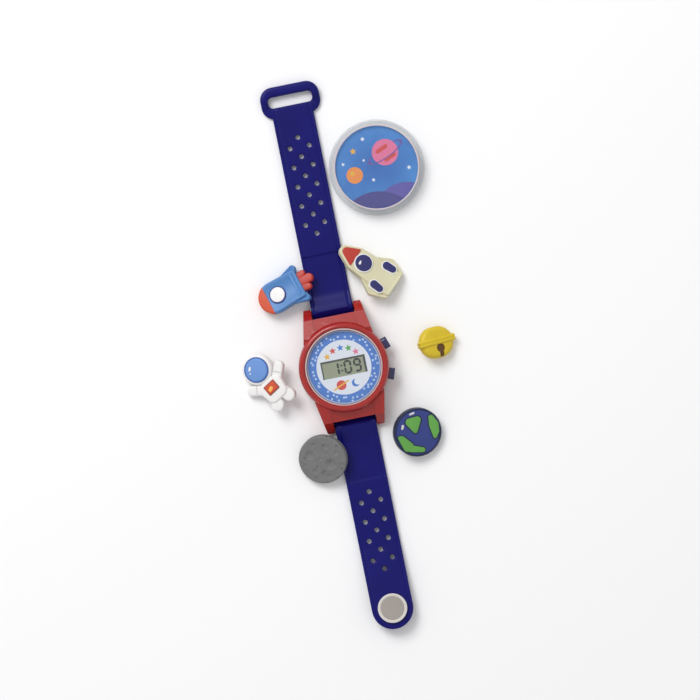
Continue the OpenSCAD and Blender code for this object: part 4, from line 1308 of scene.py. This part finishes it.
# %% Astronaut
FIGURE_H = 25.6
HEAD_R = 6.5
SUIT_FOOT = CHARM_T - 0.2
head_y = FIGURE_H / 2 - HEAD_R
foot_y = 2.7 - FIGURE_H / 2
shoulder = head_y - 8.6
hip = foot_y + 3.5
figure_head = [(0, head_y, HEAD_R)]
figure_body = [(-2.8, shoulder, 2.8), (2.8, shoulder, 2.8), (-2.2, hip, 2.6), (2.2, hip, 2.6)]
figure_arm = [(7.8, shoulder + 3.7, 2.1), (3.2, shoulder + 0.2, 2.2)]
figure_leg = [(3.2, foot_y, 2.7), (2, hip + 0.6, 2.4)]
limbs = [side for limb in (figure_arm, figure_leg) for side in (limb, flipped(limb, x=-1))]
figure_at = lie((-30.8, 0.5), 31, 180, sum(limbs, figure_head + figure_body))
astronaut = charm("astronaut", figure_at)
body = joined(prism(figure_head, 0, CHARM_T, 1.2), prism(figure_body, HAIR, CHARM_T, 1.0),
              *[prism(limb, HAIR * (i + 2), LIMB_T, 0.9) for i, limb in enumerate(limbs)], peg())
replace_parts(astronaut("suit", white_pvc, body), "astronaut_charm")
astronaut("visor_ring", visor_edge_pvc, [(0, head_y, 5.3)], SUIT_FOOT, CHARM_T + 0.3, 0.2)
astronaut("visor", visor_pvc, [(0, head_y, 4.75)], SUIT_FOOT, CHARM_T + RELIEF, 0.4)
glints = [[(-2.2, head_y + 1.8, 0.45), (-1.4, head_y + 2.4, 0.4)], [(-2.9, head_y + 0.5, 0.3)]]
for i, glint in enumerate(glints):
    astronaut(f"glint_{i + 1}", white_pvc, glint, CHARM_T + 0.3, CHARM_T + RELIEF + 0.06, 0.05)
badge_y = shoulder - 1.0
badge_edge = [(x, badge_y + y, 0.35) for x in (-2.4, 2.4) for y in (-1.85, 1.85)]
astronaut("badge_edge", badge_edge_pvc, badge_edge, SUIT_FOOT, CHARM_T + 0.35, 0.15)
badge = [(x, badge_y + y, 0.3) for x in (-2.1, 2.1) for y in (-1.55, 1.55)]
astronaut("badge", orange_red_pvc, badge, SUIT_FOOT, CHARM_T + 0.42, 0.1)
light = [(-1.0, badge_y - 0.4, 0.75), (-0.1, badge_y - 0.1, 0.7)]
astronaut("badge_light", amber_pvc, light, CHARM_T, CHARM_T + RELIEF, 0.08)
arm_cuff = [(4.9, shoulder + 3.7, 0.35), (7.1, shoulder + 0.8, 0.35)]
leg_cuff = [(1.2, foot_y + 1.8, 0.35), (4.7, foot_y + 2.3, 0.35)]
cuffs = [side for cuff in (arm_cuff, leg_cuff) for side in (cuff, flipped(cuff, x=-1))]
for i, cuff in enumerate(cuffs):
    astronaut(f"cuff_{i + 1}", pale_grey_pvc, cuff, LIMB_T - 0.5, LIMB_T + 0.15, 0.15)
print("astronaut made")
